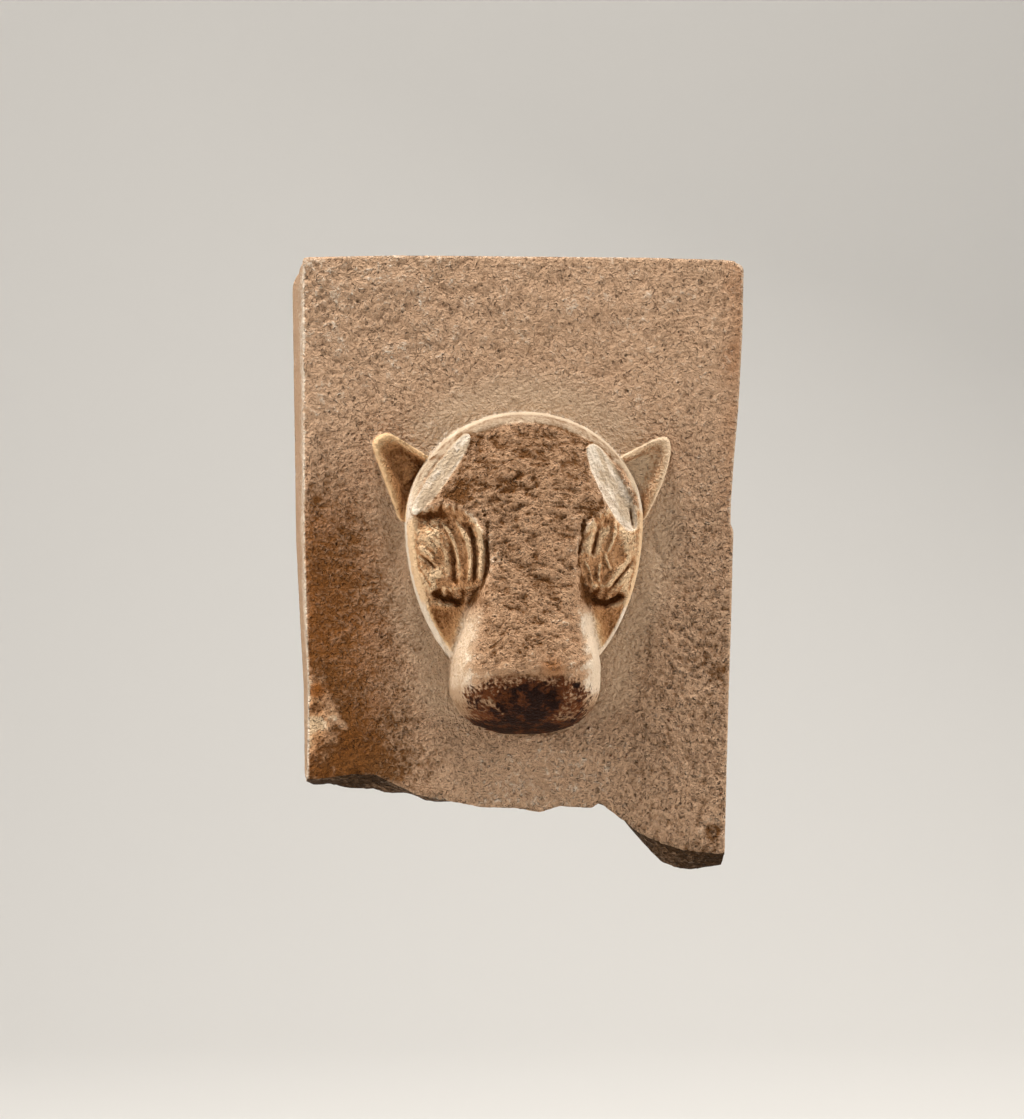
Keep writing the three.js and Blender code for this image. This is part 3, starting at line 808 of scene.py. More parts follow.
@dataclass
class PatinaAndPaintedLight:
    """How age and wear colour the stone, and where light and shade are painted into that colour, at each
    vertex of the mesh.

    A tone of 1 is the palest stone and one of -1 the brownest. A mask is 1 where it holds in full.
    Tones in pairs are for the left and the right half.
    """

    head: Head
    slab: Slab
    points: Array
    foot: Array
    face_count: int
    height: Array
    proud: Array
    wall_wear_and_light: float = 0.4
    wall_painted_highlight: tuple[float, float] = (0.5, 0.2)
    wall_painted_highlight_top: float = 0.8
    scar_tone: float = 0.55
    scar_shift: tuple[float, float] = (-0.1, 0.12)
    flank_wear_and_light: tuple[float, float] = (0.55, 1.1)
    poll_tone: float = -0.65
    brow_tone: float = -0.6
    brow_tone_top: float = -0.14
    socket_tone: float = 0.35
    cheek_tone: float = 0.1
    proud_patina_and_light: float = 0.75
    proud_patina_and_light_socket: float = 0.45
    chin_stain_and_shade: float = -0.5
    pit_painted_shade: float = 0.1
    slit_tone: float = 0.4
    ear_rim_tone: float = 0.4
    ear_bowl_painted_shade_and_light: tuple[float, float] = (-0.45, 1.35)
    left_tone: float = -0.88
    left_foot_tone: float = -0.6
    lower_right_painted_shade: float = -0.25
    under_muzzle_painted_light: float = 0.15
    head_halo_painted_light: float = 0.6
    back_from: float = -2.5
    patch_reach: Oval = Oval(-113, -102, 16, 27)
    stain_core: Oval = Oval(2, -89.5, 23, 15.5)
    stain_edge: Oval = Oval(4, -90, 38, 21)
    stain_top: Oval = Oval(6, -79, 27, 8)
    streak_middle: tuple[float, float] = (-107, -101.8)
    streak_turn: tuple[float, float] = (0.83, 0.556)  # cosine and sine of its slope
    streak_width: float = 2.8
    pebble_painted_shade_ring: float = 4.1
    pebble_painted_light_ring: float = 6.2

    def __post_init__(self) -> None:
        """Find what each vertex is on, from 0 to 1."""
        head, skull, height = self.head, self.head.skull, self.height
        self.x, self.y, self.z = self.points.T
        x, z = self.x, self.z
        self.inset: Array = head.inset(x, z)
        self.skull_inset: Array = skull.inset(x, z)
        self.aside: Array = head.bridge.aside(x, z)
        self.ear: Array = np.maximum(*[ear.shares(x, z) for ear in head.ears])
        self.front: Array = np.arange(len(x)) < self.face_count
        self.on_head: Array = self.front & (self.inset > 0)
        self.on_ear: Array = self.front & (self.ear > 0) & (self.skull_inset < 0.5)
        self.ground: Array = self.front & (self.inset <= 0) & (self.ear <= 0)
        self.back: Array = self.y > self.back_from
        self.sides: Array = ~self.front & ~self.back & ~self.foot
        self.scars: Array = np.maximum(*[self.on_scar(scar) for scar in head.scars])
        width = skull.wall_width(x, z)
        beside = fade(0.99, 1.03, np.where(z < 24, self.aside, 2))
        self.wall: Array = self.on_head * beside * fade(width + 1.0, width - 0.4, self.skull_inset)
        poll = fade(0.9, -0.9, head.crown_border(x, z)) * fade(16, 26, z)
        self.poll: Array = poll * (self.skull_inset > 0) * self.front
        flank = fade(0.66, 0.9, self.aside) * fade(1.25, 1.0, self.aside) * fade(-32, -46, z)
        self.flank: Array = flank * (height > 8) * fade(-92, -78, z)
        self.socket: Array = fade(27, 23, head.sockets.turned(x, z)) * (height > 8)
        cheek = fade(-28, -38, z) * fade(1.0, 1.08, self.aside)
        self.cheek: Array = cheek * (self.skull_inset > 3) * (height > 6)
        self.worn: Array = np.maximum.reduce([self.wall, self.poll, self.scars, self.socket, self.flank])
        self.left_side: Array = fade(-28, -110, x) * fade(75, -30, z)
        around = self.patch_reach.away(x, z) + 0.35 * face_lumps(x, z, 6, 75)
        chip = self.slab.chips[0].cover(x, z)
        self.patch: Array = self.front * np.maximum(chip, 0.7 * fade(1.2, 0.55, around))
        self.hollow: Array = self.front * RUSTY_HOLLOW.relief(x, z)

    def on_scar(self, scar: HornScar) -> Array:
        """Give 1 on a horn's scar and 0 beside it."""
        return fade(0.4, -0.6, scar.frame(self.x, self.z)[2]) * (self.height > 10)

    def by_side(self, pair: tuple[float, float]) -> Array:
        """Give the first value on the left half and the second on the right."""
        return np.where(self.x < 0, *pair)

    def head_tone(self) -> Array:
        """Make the walls, scars and edges of the head pale and its tooled hollows brown, paint light on the
        walls, the flanks and the right ear's bowl, and paint shade in the eye sockets, the pits, the left
        ear's bowl and the muzzle's lower end.

        Returns:
            What the head adds to the tone.
        """
        x, z = self.x, self.z
        kept = 1 - self.scars
        top = fade(14, 40, z) * kept
        # The skull's wall is paler: partly worn stone, partly painted light where the raking lamps strike
        # it.
        tone = np.maximum.reduce([
            self.wall_wear_and_light * self.wall * (1 - top), self.scar_tone * self.scars,
            # The muzzle's flanks are paler, the right more: partly worn stone, partly painted light on faces
            # turned to the side lamps.
            self.by_side(self.flank_wear_and_light) * self.flank,
        ])
        tone += self.poll_tone * self.poll * top
        for scar in self.head.scars:
            share, across, _ = scar.frame(x, z)
            streaks = face_lumps(across, share * 9, 2.0, 77)
            tone += (self.scar_tone * streaks + self.by_side(self.scar_shift)) * self.on_scar(scar)
        # Painted highlight along the wall's outer edge, brighter on the left and over the top of the skull.
        line = self.by_side(self.wall_painted_highlight) * fade(3.2, 1.2, self.skull_inset)
        tone += mix(line, self.wall_painted_highlight_top * fade(2.2, 0.9, self.skull_inset), top) * self.wall
        brow = self.brow_tone + self.brow_tone_top * fade(0, 50, z)
        tone += brow * self.on_head * (1 - self.worn) * fade(-80, -60, z)
        tone += self.socket_tone * self.socket * kept + self.cheek_tone * self.cheek
        # Painted shade in the eye sockets, mottled.
        shade_mottle = 1 + 0.5 * face_lumps(x, z, 4, 79)
        tone += sum(shade.relief(x, z) for shade in SOCKET_PAINTED_SHADE) * shade_mottle * self.on_head * kept
        # Crests paler and hollows browner: partly patina, partly painted light on the crests and painted
        # shade in the hollows.
        on_nose = fade(0.78, 0.9, self.aside) * fade(1.1, 1.0, self.aside) * fade(-26, -40, z)
        crests = self.proud * (1 - np.maximum(on_nose, fade(-78, -88, z)))
        bare = self.on_head * (1 - 0.8 * self.scars) * (1 - 0.6 * self.wall)
        tone += (self.proud_patina_and_light + self.proud_patina_and_light_socket * self.socket) * crests * bare
        # Darker over the muzzle's lower end: partly its stain, partly painted shade on the face that turns
        # down.
        tone += self.chin_stain_and_shade * self.on_head * fade(-78, -90, z)
        # Painted shade: the eye pits are darkened by their depth.
        pits = sum(pit.relief(x, z) for pit in LEFT_PITS + RIGHT_PITS)
        tone += self.on_head * (self.pit_painted_shade * pits * kept + self.slit_tone * self.head.slit.relief(x, z))
        # Painted shade deep in the left ear's bowl, and painted light in the right one's, which the lamps
        # leave in shadow.
        bowl = self.by_side(self.ear_bowl_painted_shade_and_light) * fade(0.12, 0.6, self.ear)
        rim = self.ear_rim_tone * fade(0.12, 0.03, self.ear) + 0.1
        return tone + self.on_ear * (rim + bowl + 0.5 * crests)

    def ground_tone(self) -> Array:
        """Make the slab browner at the left, with its pale patch and its dark marks, painted light round the
        head and below the muzzle, painted shade towards the lower right, and painted light and shade round
        the pebble.

        Returns:
            What the slab's face adds to the tone.
        """
        x, z, slab = self.x, self.z, self.slab
        # Painted light: a pale halo on the slab round the head's foot.
        tone = self.head_halo_painted_light * np.exp(np.minimum(0, self.inset) / 2.0) * fade(-70, 20, z) - 0.05
        tone += self.left_tone * self.left_side
        tone += self.left_foot_tone * fade(-80, -125, z) * fade(-30, -95, x)
        # Painted shade: the slab darker towards the lower right.
        tone += self.lower_right_painted_shade * fade(30, 110, x) * fade(40, -70, z)
        # Painted light on the slab below the muzzle, where the muzzle's shadow falls.
        tone += self.under_muzzle_painted_light * fade(60, 10, np.abs(x - 5)) * fade(-100, -125, z)
        tone += sum(mark.relief(x, z) for mark in slab.marks)
        right, up = x - slab.pebble.x, z - slab.pebble.z
        away = np.hypot(right, up)
        # Round the pebble: a painted highlight on its upper side and painted shade on its lower right; its
        # middle is darker.
        tone += 0.5 * bell(away - self.pebble_painted_light_ring, 1.4) * fade(-2, 3, up - 0.5 * right)
        tone -= 0.55 * fade(4.4, 3.0, away) * (0.9 + 0.6 * face_lumps(x, z, 3, 74))
        tone -= 0.45 * bell(away - self.pebble_painted_shade_ring, 0.9) * fade(3, -2, up - right)
        tone *= self.ground
        tone += self.patch * (self.left_side + 0.4 + 1.1 * face_lumps(x, z * 0.7, 5, 71))
        right, up = x - self.streak_middle[0], z - self.streak_middle[1]
        cos, sin = self.streak_turn
        streak = bell(cos * up - sin * right, self.streak_width)
        streak *= fade(12, 6, np.abs(cos * right + sin * up))
        front = streak * (0.9 + 0.6 * face_lumps(x, z, 4, 78)) + 0.7 * slab.chips[1].cover(x, z)
        front += 0.45 * fade(2.6, 0.6, z - along(slab.broken_edge, x)) * fade(-20, -60, x)
        near_edge = (x < along(slab.left_edge, z) + 2.0) | (x > along(slab.right_edge, z) - 2.2)
        front += 0.2 * near_edge * (self.y + slab.thickness > -3)
        return tone - 0.9 * self.hollow + self.front * front

    def side_tone(self) -> Array:
        """Make the sides browner towards the back, and the back cloudy.

        Returns:
            What the sides and the back add to the tone.
        """
        x, z = self.x, self.z
        left_face = fade(-104, -112, x) * fade(154, 142, z)
        sides = 0.3 + 0.4 * left_face - 0.6 * fade(0, 0.7, self.y / self.slab.thickness + 1)
        return self.sides * sides + self.back * (0.25 * face_lumps(x, z, 40, 73) - 0.15)

    def stain(self) -> Array:
        """Give the dark stain: a core over the nostrils, its thinner edge and the chin.

        Returns:
            The mask.
        """
        x, z = self.x, self.z
        core = 1.3 * fade(1.35, 0.5, self.stain_core.away(x - 0.3 * (z + 87), z))
        edge = 0.68 * fade(1.2, 0.75, self.stain_edge.away(x, z))
        upper = 0.62 * fade(1.3, 0.5, self.stain_top.away(x, z))
        chin = 1.2 * fade(-94, -100, z) * fade(42, 34, np.abs(x - 3))
        stain = np.maximum.reduce([core, edge, upper, chin]) * (self.height > 3)
        stain -= 0.55 * self.head.muzzle_marks[0].relief(x, z)
        return stain * fade(-67, -75, z + 4.5 * face_lumps(x, z, 5, 72))

    def rust(self) -> Array:
        """Give the rust: a spot over the muzzle, the left side, a hollow, the right edge and the break.

        Returns:
            The mask.
        """
        x, y, z = self.x, self.y, self.z
        left = 0.58 * fade(-20, -112, x) * fade(90, -10, z) * (1 - self.patch)
        right = 0.5 * fade(98, 122, x) * fade(-60, 20, z)
        broken = 0.35 * self.foot * (0.6 + lumps(x, y, z, 9, 80))
        spot = RUSTY_SPOT.relief(x, z) * (self.height > 6)
        return spot + self.ground * (left + right) + 1.2 * self.hollow + broken

    def golden(self) -> Array:
        """Give the golden tint of the sockets, the cheeks, the ears and the patch.

        Returns:
            The mask.
        """
        parts = [0.85 * self.socket * (1 - self.scars), self.cheek, self.on_ear * self.by_side((1, 0.6))]
        parts += [0.3 * self.flank, 0.3 * self.on_head * (1 - self.worn), 0.8 * self.patch]
        return np.maximum.reduce(parts)

    def furrowed(self) -> Array:
        """Give where wavy furrows run: the forehead, the bridge and the upper slab.

        Returns:
            The mask.
        """
        x, z = self.x, self.z
        forehead = self.on_head * fade(0, 2, self.head.crown_border(x, z)) * (1 - self.scars)
        forehead *= (1 - self.socket) * fade(0.98, 0.7, np.where(z < -18, self.aside, 0)) * fade(-78, -66, z)
        upper = self.ground * (0.3 + 0.3 * fade(70, 125, z)) * fade(20, 80, z)
        return np.maximum(forehead, upper * (0.5 + 0.5 * fade(20, -60, x)))

    def pecked(self) -> Array:
        """Give where the point chisel's pecks are: the slab, the sockets and the break.

        Returns:
            The mask.
        """
        strong = 0.6 + 0.4 * fade(20, 80, self.x) * fade(60, 0, self.z)
        slab = self.ground * strong * (1 - 0.5 * fade(-26, -4, self.inset))
        rest = 0.4 * self.socket * (1 - self.scars) + 0.25 * self.sides + 0.3 * self.back
        return np.maximum.reduce([slab, rest, self.foot])

    def rubbed(self) -> Array:
        """Give where wear has rubbed the stone smooth and pale.

        Returns:
            The mask.
        """
        z = self.z
        return np.maximum.reduce([
            0.8 * self.scars, 0.95 * self.poll, 0.7 * self.wall, 0.5 * self.flank, 0.5 * self.back,
            0.5 * self.on_ear * fade(0.3, 0.1, self.ear), 0.6 * self.on_head * fade(-74, -90, z),
            0.45 * self.ground * fade(-30, -8, self.inset) * fade(-115, -85, z),
        ])

    def masks(self) -> dict[Mask, Array]:
        """Give one value for each vertex and mask."""
        return {
            Mask.TONE: self.head_tone() + self.ground_tone() + self.side_tone(), Mask.STAIN: self.stain(),
            Mask.RUST: self.rust(), Mask.GOLDEN: self.golden(), Mask.BROKEN: self.foot,
            Mask.PECKED: self.pecked(), Mask.FURROWED: self.furrowed(), Mask.RUBBED: self.rubbed(),
            Mask.SOLE: ~self.front,
        }


# ---- the mesh ----

@dataclass
class PanelMesh:
    """Lays a fine grid over the face, closes it round the sides and over the back."""

    slab: Slab
    head: Head
    columns: int = 240
    rows: int = 312
    passes: int = 9
    steepness: float = 0.55
    worn_depths: tuple[float, ...] = (0.35, 0.85, 1.4)
    side_from: float = 2.6
    side_rings: int = 24
    relief_fades: float = 7.0
    near_side: float = 108.0
    near_end: float = 125.0
    back_wear: float = 0.7
    back_step: int = 4
    shift_share: float = 0.6
    proud_scales: tuple = ((4, 0.45), (16, 1.5))

    def relief(self, x: Array, z: Array) -> Array:
        """Give the height of everything above the dressed face's plane.

        Args:
            x, z: the points, in millimetres.

        Returns:
            The height, mostly a little below 0 beside the head.
        """
        head = self.head.height(x, z)
        ground = self.slab.ground(x, z, self.head.inset(x, z))
        return np.where(head > 0.01, head, ground)

    def busyness(self, x: Array, z: Array) -> Array:
        """Give how much finer than the plain slab the grid is at a point.

        Args:
            x, z: the points, in millimetres.

        Returns:
            How many times finer.
        """
        on_head = fade(-14, 2, self.head.inset(x, z))
        at_eyes = fade(40, 18, self.head.sockets.turned(x, z))
        at_ears = fade(26, 10, np.hypot(np.abs(x - 1) - 72, z - 38))
        return 1 + 0.55 * on_head + 0.75 * at_eyes + 0.5 * at_ears

    @staticmethod
    def blur(values: Array) -> Array:
        """Average each point of a grid with its neighbours.

        Args:
            values: the grid.

        Returns:
            The smoother grid.
        """
        padded = np.pad(values, 1, mode="edge")
        rows = padded[:-2] + 2 * padded[1:-1] + padded[2:]
        return (rows[:, :-2] + 2 * rows[:, 1:-1] + rows[:, 2:]) / 16

    def relax(self, moved: Array, x: Array, z: Array, height: Array) -> Array:
        """Share the places along each grid line out again by steepness.

        Args:
            moved: the nominal coordinate that runs along the lines.
            x, z, height: the real places of the grid's points.

        Returns:
            The coordinate, moved part of the way.
        """
        run = np.hypot(np.diff(x, axis=1), np.diff(z, axis=1))
        climb = self.steepness * np.diff(height, axis=1)
        middle_x, middle_z = (x[:, 1:] + x[:, :-1]) / 2, (z[:, 1:] + z[:, :-1]) / 2
        density = np.hypot(run, climb) / run * self.busyness(middle_x, middle_z)
        density = self.blur(self.blur(density))
        weights = np.cumsum(density * np.diff(moved, axis=1), axis=1)
        shared = moved.copy()
        steps = np.arange(1, moved.shape[1] - 1) / (moved.shape[1] - 1)
        for row in range(moved.shape[0]):
            sums = np.concatenate(([0.0], weights[row]))
            shared[row, 1:-1] = np.interp(steps * sums[-1], sums, moved[row])
        return mix(moved, shared, self.shift_share)

    def lay_out(self) -> tuple[Array, Array]:
        """Lay the face's grid out so that cells crowd together where the carving is steep.

        Returns:
            The grid's nominal coordinates, across and up.
        """
        across, up = np.meshgrid(
            np.linspace(self.slab.left, self.slab.right, self.columns + 1),
            np.linspace(self.slab.bottom, self.slab.top, self.rows + 1),
        )
        for _ in range(self.passes):
            x, z = self.slab.place(across, up, 0)
            across = self.relax(across, x, z, self.relief(x, z))
            x, z = self.slab.place(across, up, 0)
            up = self.relax(up.T, x.T, z.T, self.relief(x, z).T).T
        return across, up

    @staticmethod
    def cells(index: Array) -> tuple[Array, Array, Array, Array]:
        """Give the four corners of each cell of a grid, in turn round the cell."""
        corners = index[:-1, :-1], index[:-1, 1:], index[1:, 1:], index[1:, :-1]
        return tuple(corner.reshape(-1) for corner in corners)

    @staticmethod
    def around(grid: Array) -> Array:
        """Give the border of a grid as one loop: foot, right side, top, left side."""
        return np.concatenate((grid[0, :-1], grid[:-1, -1], grid[-1, :0:-1], grid[:0:-1, 0]))

    @staticmethod
    def band(outer: Array, inner: Array) -> Array:
        """Join two loops of equally many points by triangles."""
        a, b, c, d = outer, inner, np.roll(inner, -1), np.roll(outer, -1)
        return np.concatenate((np.stack((a, b, c), 1), np.stack((a, c, d), 1)))

    @staticmethod
    def halving_band(outer: Array, inner: Array) -> Array:
        """Join a loop to one with half as many points by triangles."""
        a, m, b, p, q = outer[::2], outer[1::2], np.roll(outer[::2], -1), inner, np.roll(inner, -1)
        return np.concatenate((np.stack((a, p, m), 1), np.stack((m, p, q), 1), np.stack((m, q, b), 1)))

    def build(self) -> tuple[Array, Array, dict[Mask, Array]]:
        """Make the closed mesh.

        Returns:
            Vertices in millimetres, triangles, and the masks at the vertices.
        """
        across, up = self.lay_out()
        x, z = self.slab.place(across, up, 0)
        height = self.relief(x, z)
        vertices = [np.stack((x, -self.slab.thickness - height, z), -1).reshape(-1, 3)]
        feet = [np.zeros(x.size, bool)]
        index = np.arange(x.size).reshape(x.shape)
        a, b, c, d = self.cells(index)
        at_a, at_b, at_c, at_d = self.cells(height)
        rise = (np.abs(at_a - at_c) > np.abs(at_b - at_d)).reshape(-1, 1)
        triangles = [
            np.where(rise, np.stack((a, b, d), -1), np.stack((a, b, c), -1)),
            np.where(rise, np.stack((b, c, d), -1), np.stack((a, c, d), -1)),
        ]
        rings, ring_feet, joins, loop = self.close_sides(across, up, height)
        vertices += rings
        feet += ring_feet
        triangles += joins
        count = sum(len(part) for part in vertices)
        step = self.back_step
        back_vertices, back = self.close_back(across[::step, ::step], up[::step, ::step], loop, count)
        vertices.append(back_vertices)
        feet.append(np.zeros(len(back_vertices), bool))
        triangles.append(back)
        points = np.concatenate(vertices)
        on_face = [
            np.pad(grid.reshape(-1), (0, len(points) - x.size)) for grid in (height, self.proud(height))
        ]
        patina_and_light = PatinaAndPaintedLight(self.head, self.slab, points, np.concatenate(feet), x.size, *on_face)
        return points, np.concatenate(triangles), patina_and_light.masks()

    def close_sides(self, across: Array, up: Array,
                    height: Array) -> tuple[list[Array], list[Array], list[Array], Array]:
        """Lead the border of the face back along the sides in rings, with ever fewer points.

        Args:
            across, up: the face's grid, nominal.
            height: of its points.

        Returns:
            The rings' vertices, which of them are on the foot, the triangles, and the last ring's numbers.
        """
        rim_across, rim_up, rim_height = self.around(across), self.around(up), self.around(height)
        loop = self.around(np.arange(across.size).reshape(across.shape))
        count, last = across.size, self.slab.thickness
        depths = [(depth, 1) for depth in self.worn_depths]
        spaced = np.linspace(self.side_from, last - self.back_wear, self.side_rings + 1)
        depths += [(float(depth), 2) for depth in spaced] + [(last, self.back_step)]
        vertices, feet, triangles = [], [], []
        for depth, step in depths:
            x, z = self.slab.place(rim_across[::step], rim_up[::step], depth)
            sunk = -rim_height[::step] * max(0.0, 1 - depth / self.relief_fades)
            y = np.full(x.shape, depth - last) + sunk * (1 - depth / last)
            if depth == last:
                x = x - self.back_wear * np.sign(x) * (np.abs(x) > self.near_side)
                z = z - self.back_wear * np.sign(z) * (np.abs(z) > self.near_end)
            x, y, z = self.roughen(x, y, z, rim_up[::step], depth)
            vertices.append(np.stack((x, y, z), -1))
            feet.append((rim_up[::step] <= self.slab.bottom + 0.01) & (depth < last))
            ring = count + np.arange(len(x))
            count += len(x)
            join = self.band if len(ring) == len(loop) else self.halving_band
            triangles.append(join(loop, ring))
            loop = ring
        return vertices, feet, triangles, loop

    def proud(self, height: Array) -> Array:
        """Give 1 where the carving stands above its surroundings and -1 where it is hollow.

        Args:
            height: of the face's grid.

        Returns:
            The mean of a near and a wider measure.
        """
        total = np.zeros(height.shape)
        for passes, step in self.proud_scales:
            smooth = height
            for _ in range(passes):
                smooth = self.blur(smooth)
            total += 0.5 * np.clip((height - smooth) / step, -1, 1)
        return total

    def roughen(self, x: Array, y: Array, z: Array, up: Array,
                depth: float) -> tuple[Array, Array, Array]:
        """Make the broken foot uneven and the other sides a little wavy.

        Args:
            x, y, z: the ring's points.
            up: their nominal height.
            depth: the ring's depth.

        Returns:
            The moved points.
        """
        thickness = self.slab.thickness
        foot = (up <= self.slab.bottom + 0.01) * fade(0.5, 6, depth) * fade(thickness, thickness - 4, depth)
        rough = 1.9 * lumps(x, y, z * 0.3, 15, 61) + 1.3 * np.abs(lumps(x, y, z * 0.3, 6.5, 62))
        z = z + foot * (rough + 0.7)
        side = (up > self.slab.bottom + 8) * fade(1.5, 8, depth) * fade(thickness, thickness - 4, depth)
        wavy = 0.5 + 0.5 * lumps(x * 0.3, y, z, 22, 63) + 0.3 * lumps(x * 0.3, y, z, 9, 64)
        x = x - np.sign(x) * side * wavy * (np.abs(x) > 110)
        return x, y, z - side * wavy * (z > 140)

    def close_back(self, across: Array, up: Array, loop: Array, start: int) -> tuple[Array, Array]:
        """Fill the back inside its outer loop.

        Args:
            across, up: every fourth point of the face's grid, nominal.
            loop: the vertex numbers of the back's border.
            start: the number of the first new vertex.

        Returns:
            The new vertices and the triangles.
        """
        rows, columns = across.shape
        s, t = np.meshgrid(np.linspace(0, 1, columns), np.linspace(0, 1, rows))
        across = mix(across[0][None, :], across[-1][None, :], t)
        up = mix(up[:, :1], up[:, -1:], s)
        index = np.full((rows, columns), -1)
        border = self.around(np.arange(rows * columns).reshape(rows, columns))
        index.reshape(-1)[border] = loop
        inner = np.arange((rows - 2) * (columns - 2)).reshape(rows - 2, columns - 2)
        index[1:-1, 1:-1] = start + inner
        x, z = self.slab.place(across[1:-1, 1:-1], up[1:-1, 1:-1], self.slab.thickness)
        uneven = 0.5 + 0.5 * face_lumps(x, z, 30, 65) + 0.35 * np.abs(face_lumps(x, z, 11, 66))
        points = np.stack((x, -uneven, z), -1).reshape(-1, 3)
        a, b, c, d = self.cells(index)
        return points, np.concatenate((np.stack((a, c, b), -1), np.stack((a, d, c), -1)))


# ---- nodes ----

Socket = bpy.types.NodeSocket


def add_node(tree: bpy.types.NodeTree, kind: str, *values: object, links: dict | None = None,
             out: int | str = 0, **settings: object) -> Socket | None:
    """Add a node with its settings, values and links.

    Args:
        tree: the node tree.
        kind: the node's type.
        values: sockets to link from, or plain values, for its first inputs in order.
        links: more of them, by input name or number.
        out: the output to give back.
        settings: the node's own properties.

    Returns:
        The output, or None for a node that has none.
    """
    node = tree.nodes.new(kind)
    for name, value in settings.items():
        setattr(node, name, value)
    for key, value in [*enumerate(values), *(links or {}).items()]:
        if isinstance(value, Socket):
            tree.links.new(value, node.inputs[key])
        else:
            node.inputs[key].default_value = value
    return node.outputs[out] if node.outputs else None


def add_up(tree: bpy.types.NodeTree, start: object, *parts: tuple[object, object]) -> Socket:
    """Add up products of two values each.

    Args:
        tree: the node tree.
        start: what the sum starts from.
        parts: pairs of values, or of a value and its weight.

    Returns:
        The sum.
    """
    for first, second in parts:
        start = add_node(tree, "ShaderNodeMath", first, second, start, operation="MULTIPLY_ADD")
    return start


def linear(colour: str) -> tuple[float, float, float, float]:
    """Turn an sRGB hex colour into the linear one that a socket takes."""
    parts = [int(colour[i : i + 2], 16) / 255 for i in (1, 3, 5)]
    return tuple(p / 12.92 if p <= 0.04045 else ((p + 0.055) / 1.055) ** 2.4 for p in parts) + (1.0,)


@dataclass
class StoneDressing:
    """Geometry nodes that peck, furrow and roughen the carved surface along its normals."""

    peck_mm: float = 3.4
    peck_depth_mm: float = 1.0
    furrow_length_mm: float = 9.0
    furrow_width_mm: float = 4.4
    furrow_depth_mm: float = 1.0
    swell_width: float = 2.8  # in furrow widths
    swell_height: float = 5.5  # in furrow depths
    # The dressing's depth also darkens the colour where it cuts in: partly patina, partly painted shade.
    full_depth_mm: float = 0.6  # depth at which a furrow has its full colour
    seed: float = 4.0

    def tree(self, stone: bpy.types.Material) -> tuple[bpy.types.NodeTree, dict[str, object]]:
        """Build the tree.

        Args:
            stone: the material of the result.

        Returns:
            The tree and the values of its inputs by socket identifier.
        """
        tree = bpy.data.node_groups.new("stone_dressing", "GeometryNodeTree")
        add, total = partial(add_node, tree), partial(add_up, tree)
        face = tree.interface
        face.new_socket("Geometry", in_out="INPUT", socket_type="NodeSocketGeometry")
        face.new_socket("Geometry", in_out="OUTPUT", socket_type="NodeSocketGeometry")
        values = {
            "Peck size": self.peck_mm * MM, "Peck depth": self.peck_depth_mm * MM,
            "Furrow length": self.furrow_length_mm * MM, "Furrow width": self.furrow_width_mm * MM,
            "Furrow depth": self.furrow_depth_mm * MM, "Seed": self.seed,
        }
        settings = {}
        for name, value in values.items():
            socket = face.new_socket(name, in_out="INPUT", socket_type="NodeSocketFloat")
            settings[socket.identifier] = value
        given = {name: add("NodeGroupInput", out=name) for name in ("Geometry", *values)}
        pecked, furrowed, sole = [
            add("GeometryNodeInputNamedAttribute", mask.value, out="Attribute", data_type="FLOAT")
            for mask in (Mask.PECKED, Mask.FURROWED, Mask.SOLE)
        ]
        place = add("ShaderNodeVectorMath", add("GeometryNodeInputPosition"), FAR_OFF)
        peck, wide = given["Peck size"], given["Furrow width"]
        swell = total(0.0, (wide, self.swell_width))
        noises = []
        for length, width, detail, bend in (
            (peck, peck, 1.0, 0.0), (given["Furrow length"], wide, 1.5, 0.9), (swell, swell, 2.0, 0.6),
        ):
            lump = add("ShaderNodeCombineXYZ", length, width, width)
            scaled = add("ShaderNodeVectorMath", place, lump, operation="DIVIDE")
            noise = add("ShaderNodeTexNoise", noise_dimensions="4D", links={
                "Vector": scaled, "W": given["Seed"], "Scale": 1.0, "Detail": detail, "Roughness": 0.55,
                "Distortion": bend,
            })
            noises.append(total(-0.5, (noise, 1.0)))
        pecks = total(0.0, (total(0.0, (noises[0], 2.4)), given["Peck depth"]))
        sharp = total(1.0, (add("ShaderNodeMath", noises[1], operation="ABSOLUTE"), -5.0))
        sharp = add("ShaderNodeMath", sharp, 0.0, operation="MAXIMUM")
        crests = total(-0.35, (add("ShaderNodeMath", sharp, 1.4, operation="POWER"), 1.0))
        furrows = total(0.0, (given["Furrow depth"], furrowed))
        cut = total(0.0, (pecks, pecked), (crests, furrows))
        swells = total(0.0, (total(0.0, (noises[2], self.swell_height)), furrows))
        both = total(cut, (swells, 1.0))
        inward = add("ShaderNodeMath", both, 0.0, operation="MINIMUM")
        offset = total(0.0, (both, total(1.0, (sole, -1.0))), (inward, sole))
        shift = add("ShaderNodeVectorMath", add("GeometryNodeInputNormal"), links={"Scale": offset},
                    operation="SCALE")
        depth = total(0.0, (total(cut, (swells, 0.25)), 1 / (self.full_depth_mm * MM)))
        kept = add("GeometryNodeStoreNamedAttribute", data_type="FLOAT", domain="POINT", links={
            "Geometry": given["Geometry"], "Name": DRESSING, "Value": depth,
        })
        moved = add("GeometryNodeSetPosition", kept, links={"Offset": shift})
        whole = add("GeometryNodeRealizeInstances", moved)
        dressed = add("GeometryNodeSetMaterial", whole, links={"Material": stone})
        add("NodeGroupOutput", dressed)
        return tree, settings

    def apply(self, piece: bpy.types.Object, stone: bpy.types.Material) -> None:
        """Dress a piece and leave it a plain mesh.

        Args:
            piece: the piece.
            stone: its material.
        """
        tree, settings = self.tree(stone)
        modifier = piece.modifiers.new("dressing", "NODES")
        modifier.node_group = tree
        for identifier, value in settings.items():
            modifier[identifier] = value
        graph = bpy.context.evaluated_depsgraph_get()
        plain = bpy.data.meshes.new_from_object(piece.evaluated_get(graph), depsgraph=graph)
        piece.modifiers.remove(modifier)
        old, piece.data = piece.data, plain
        bpy.data.meshes.remove(old)
        plain.name = piece.name


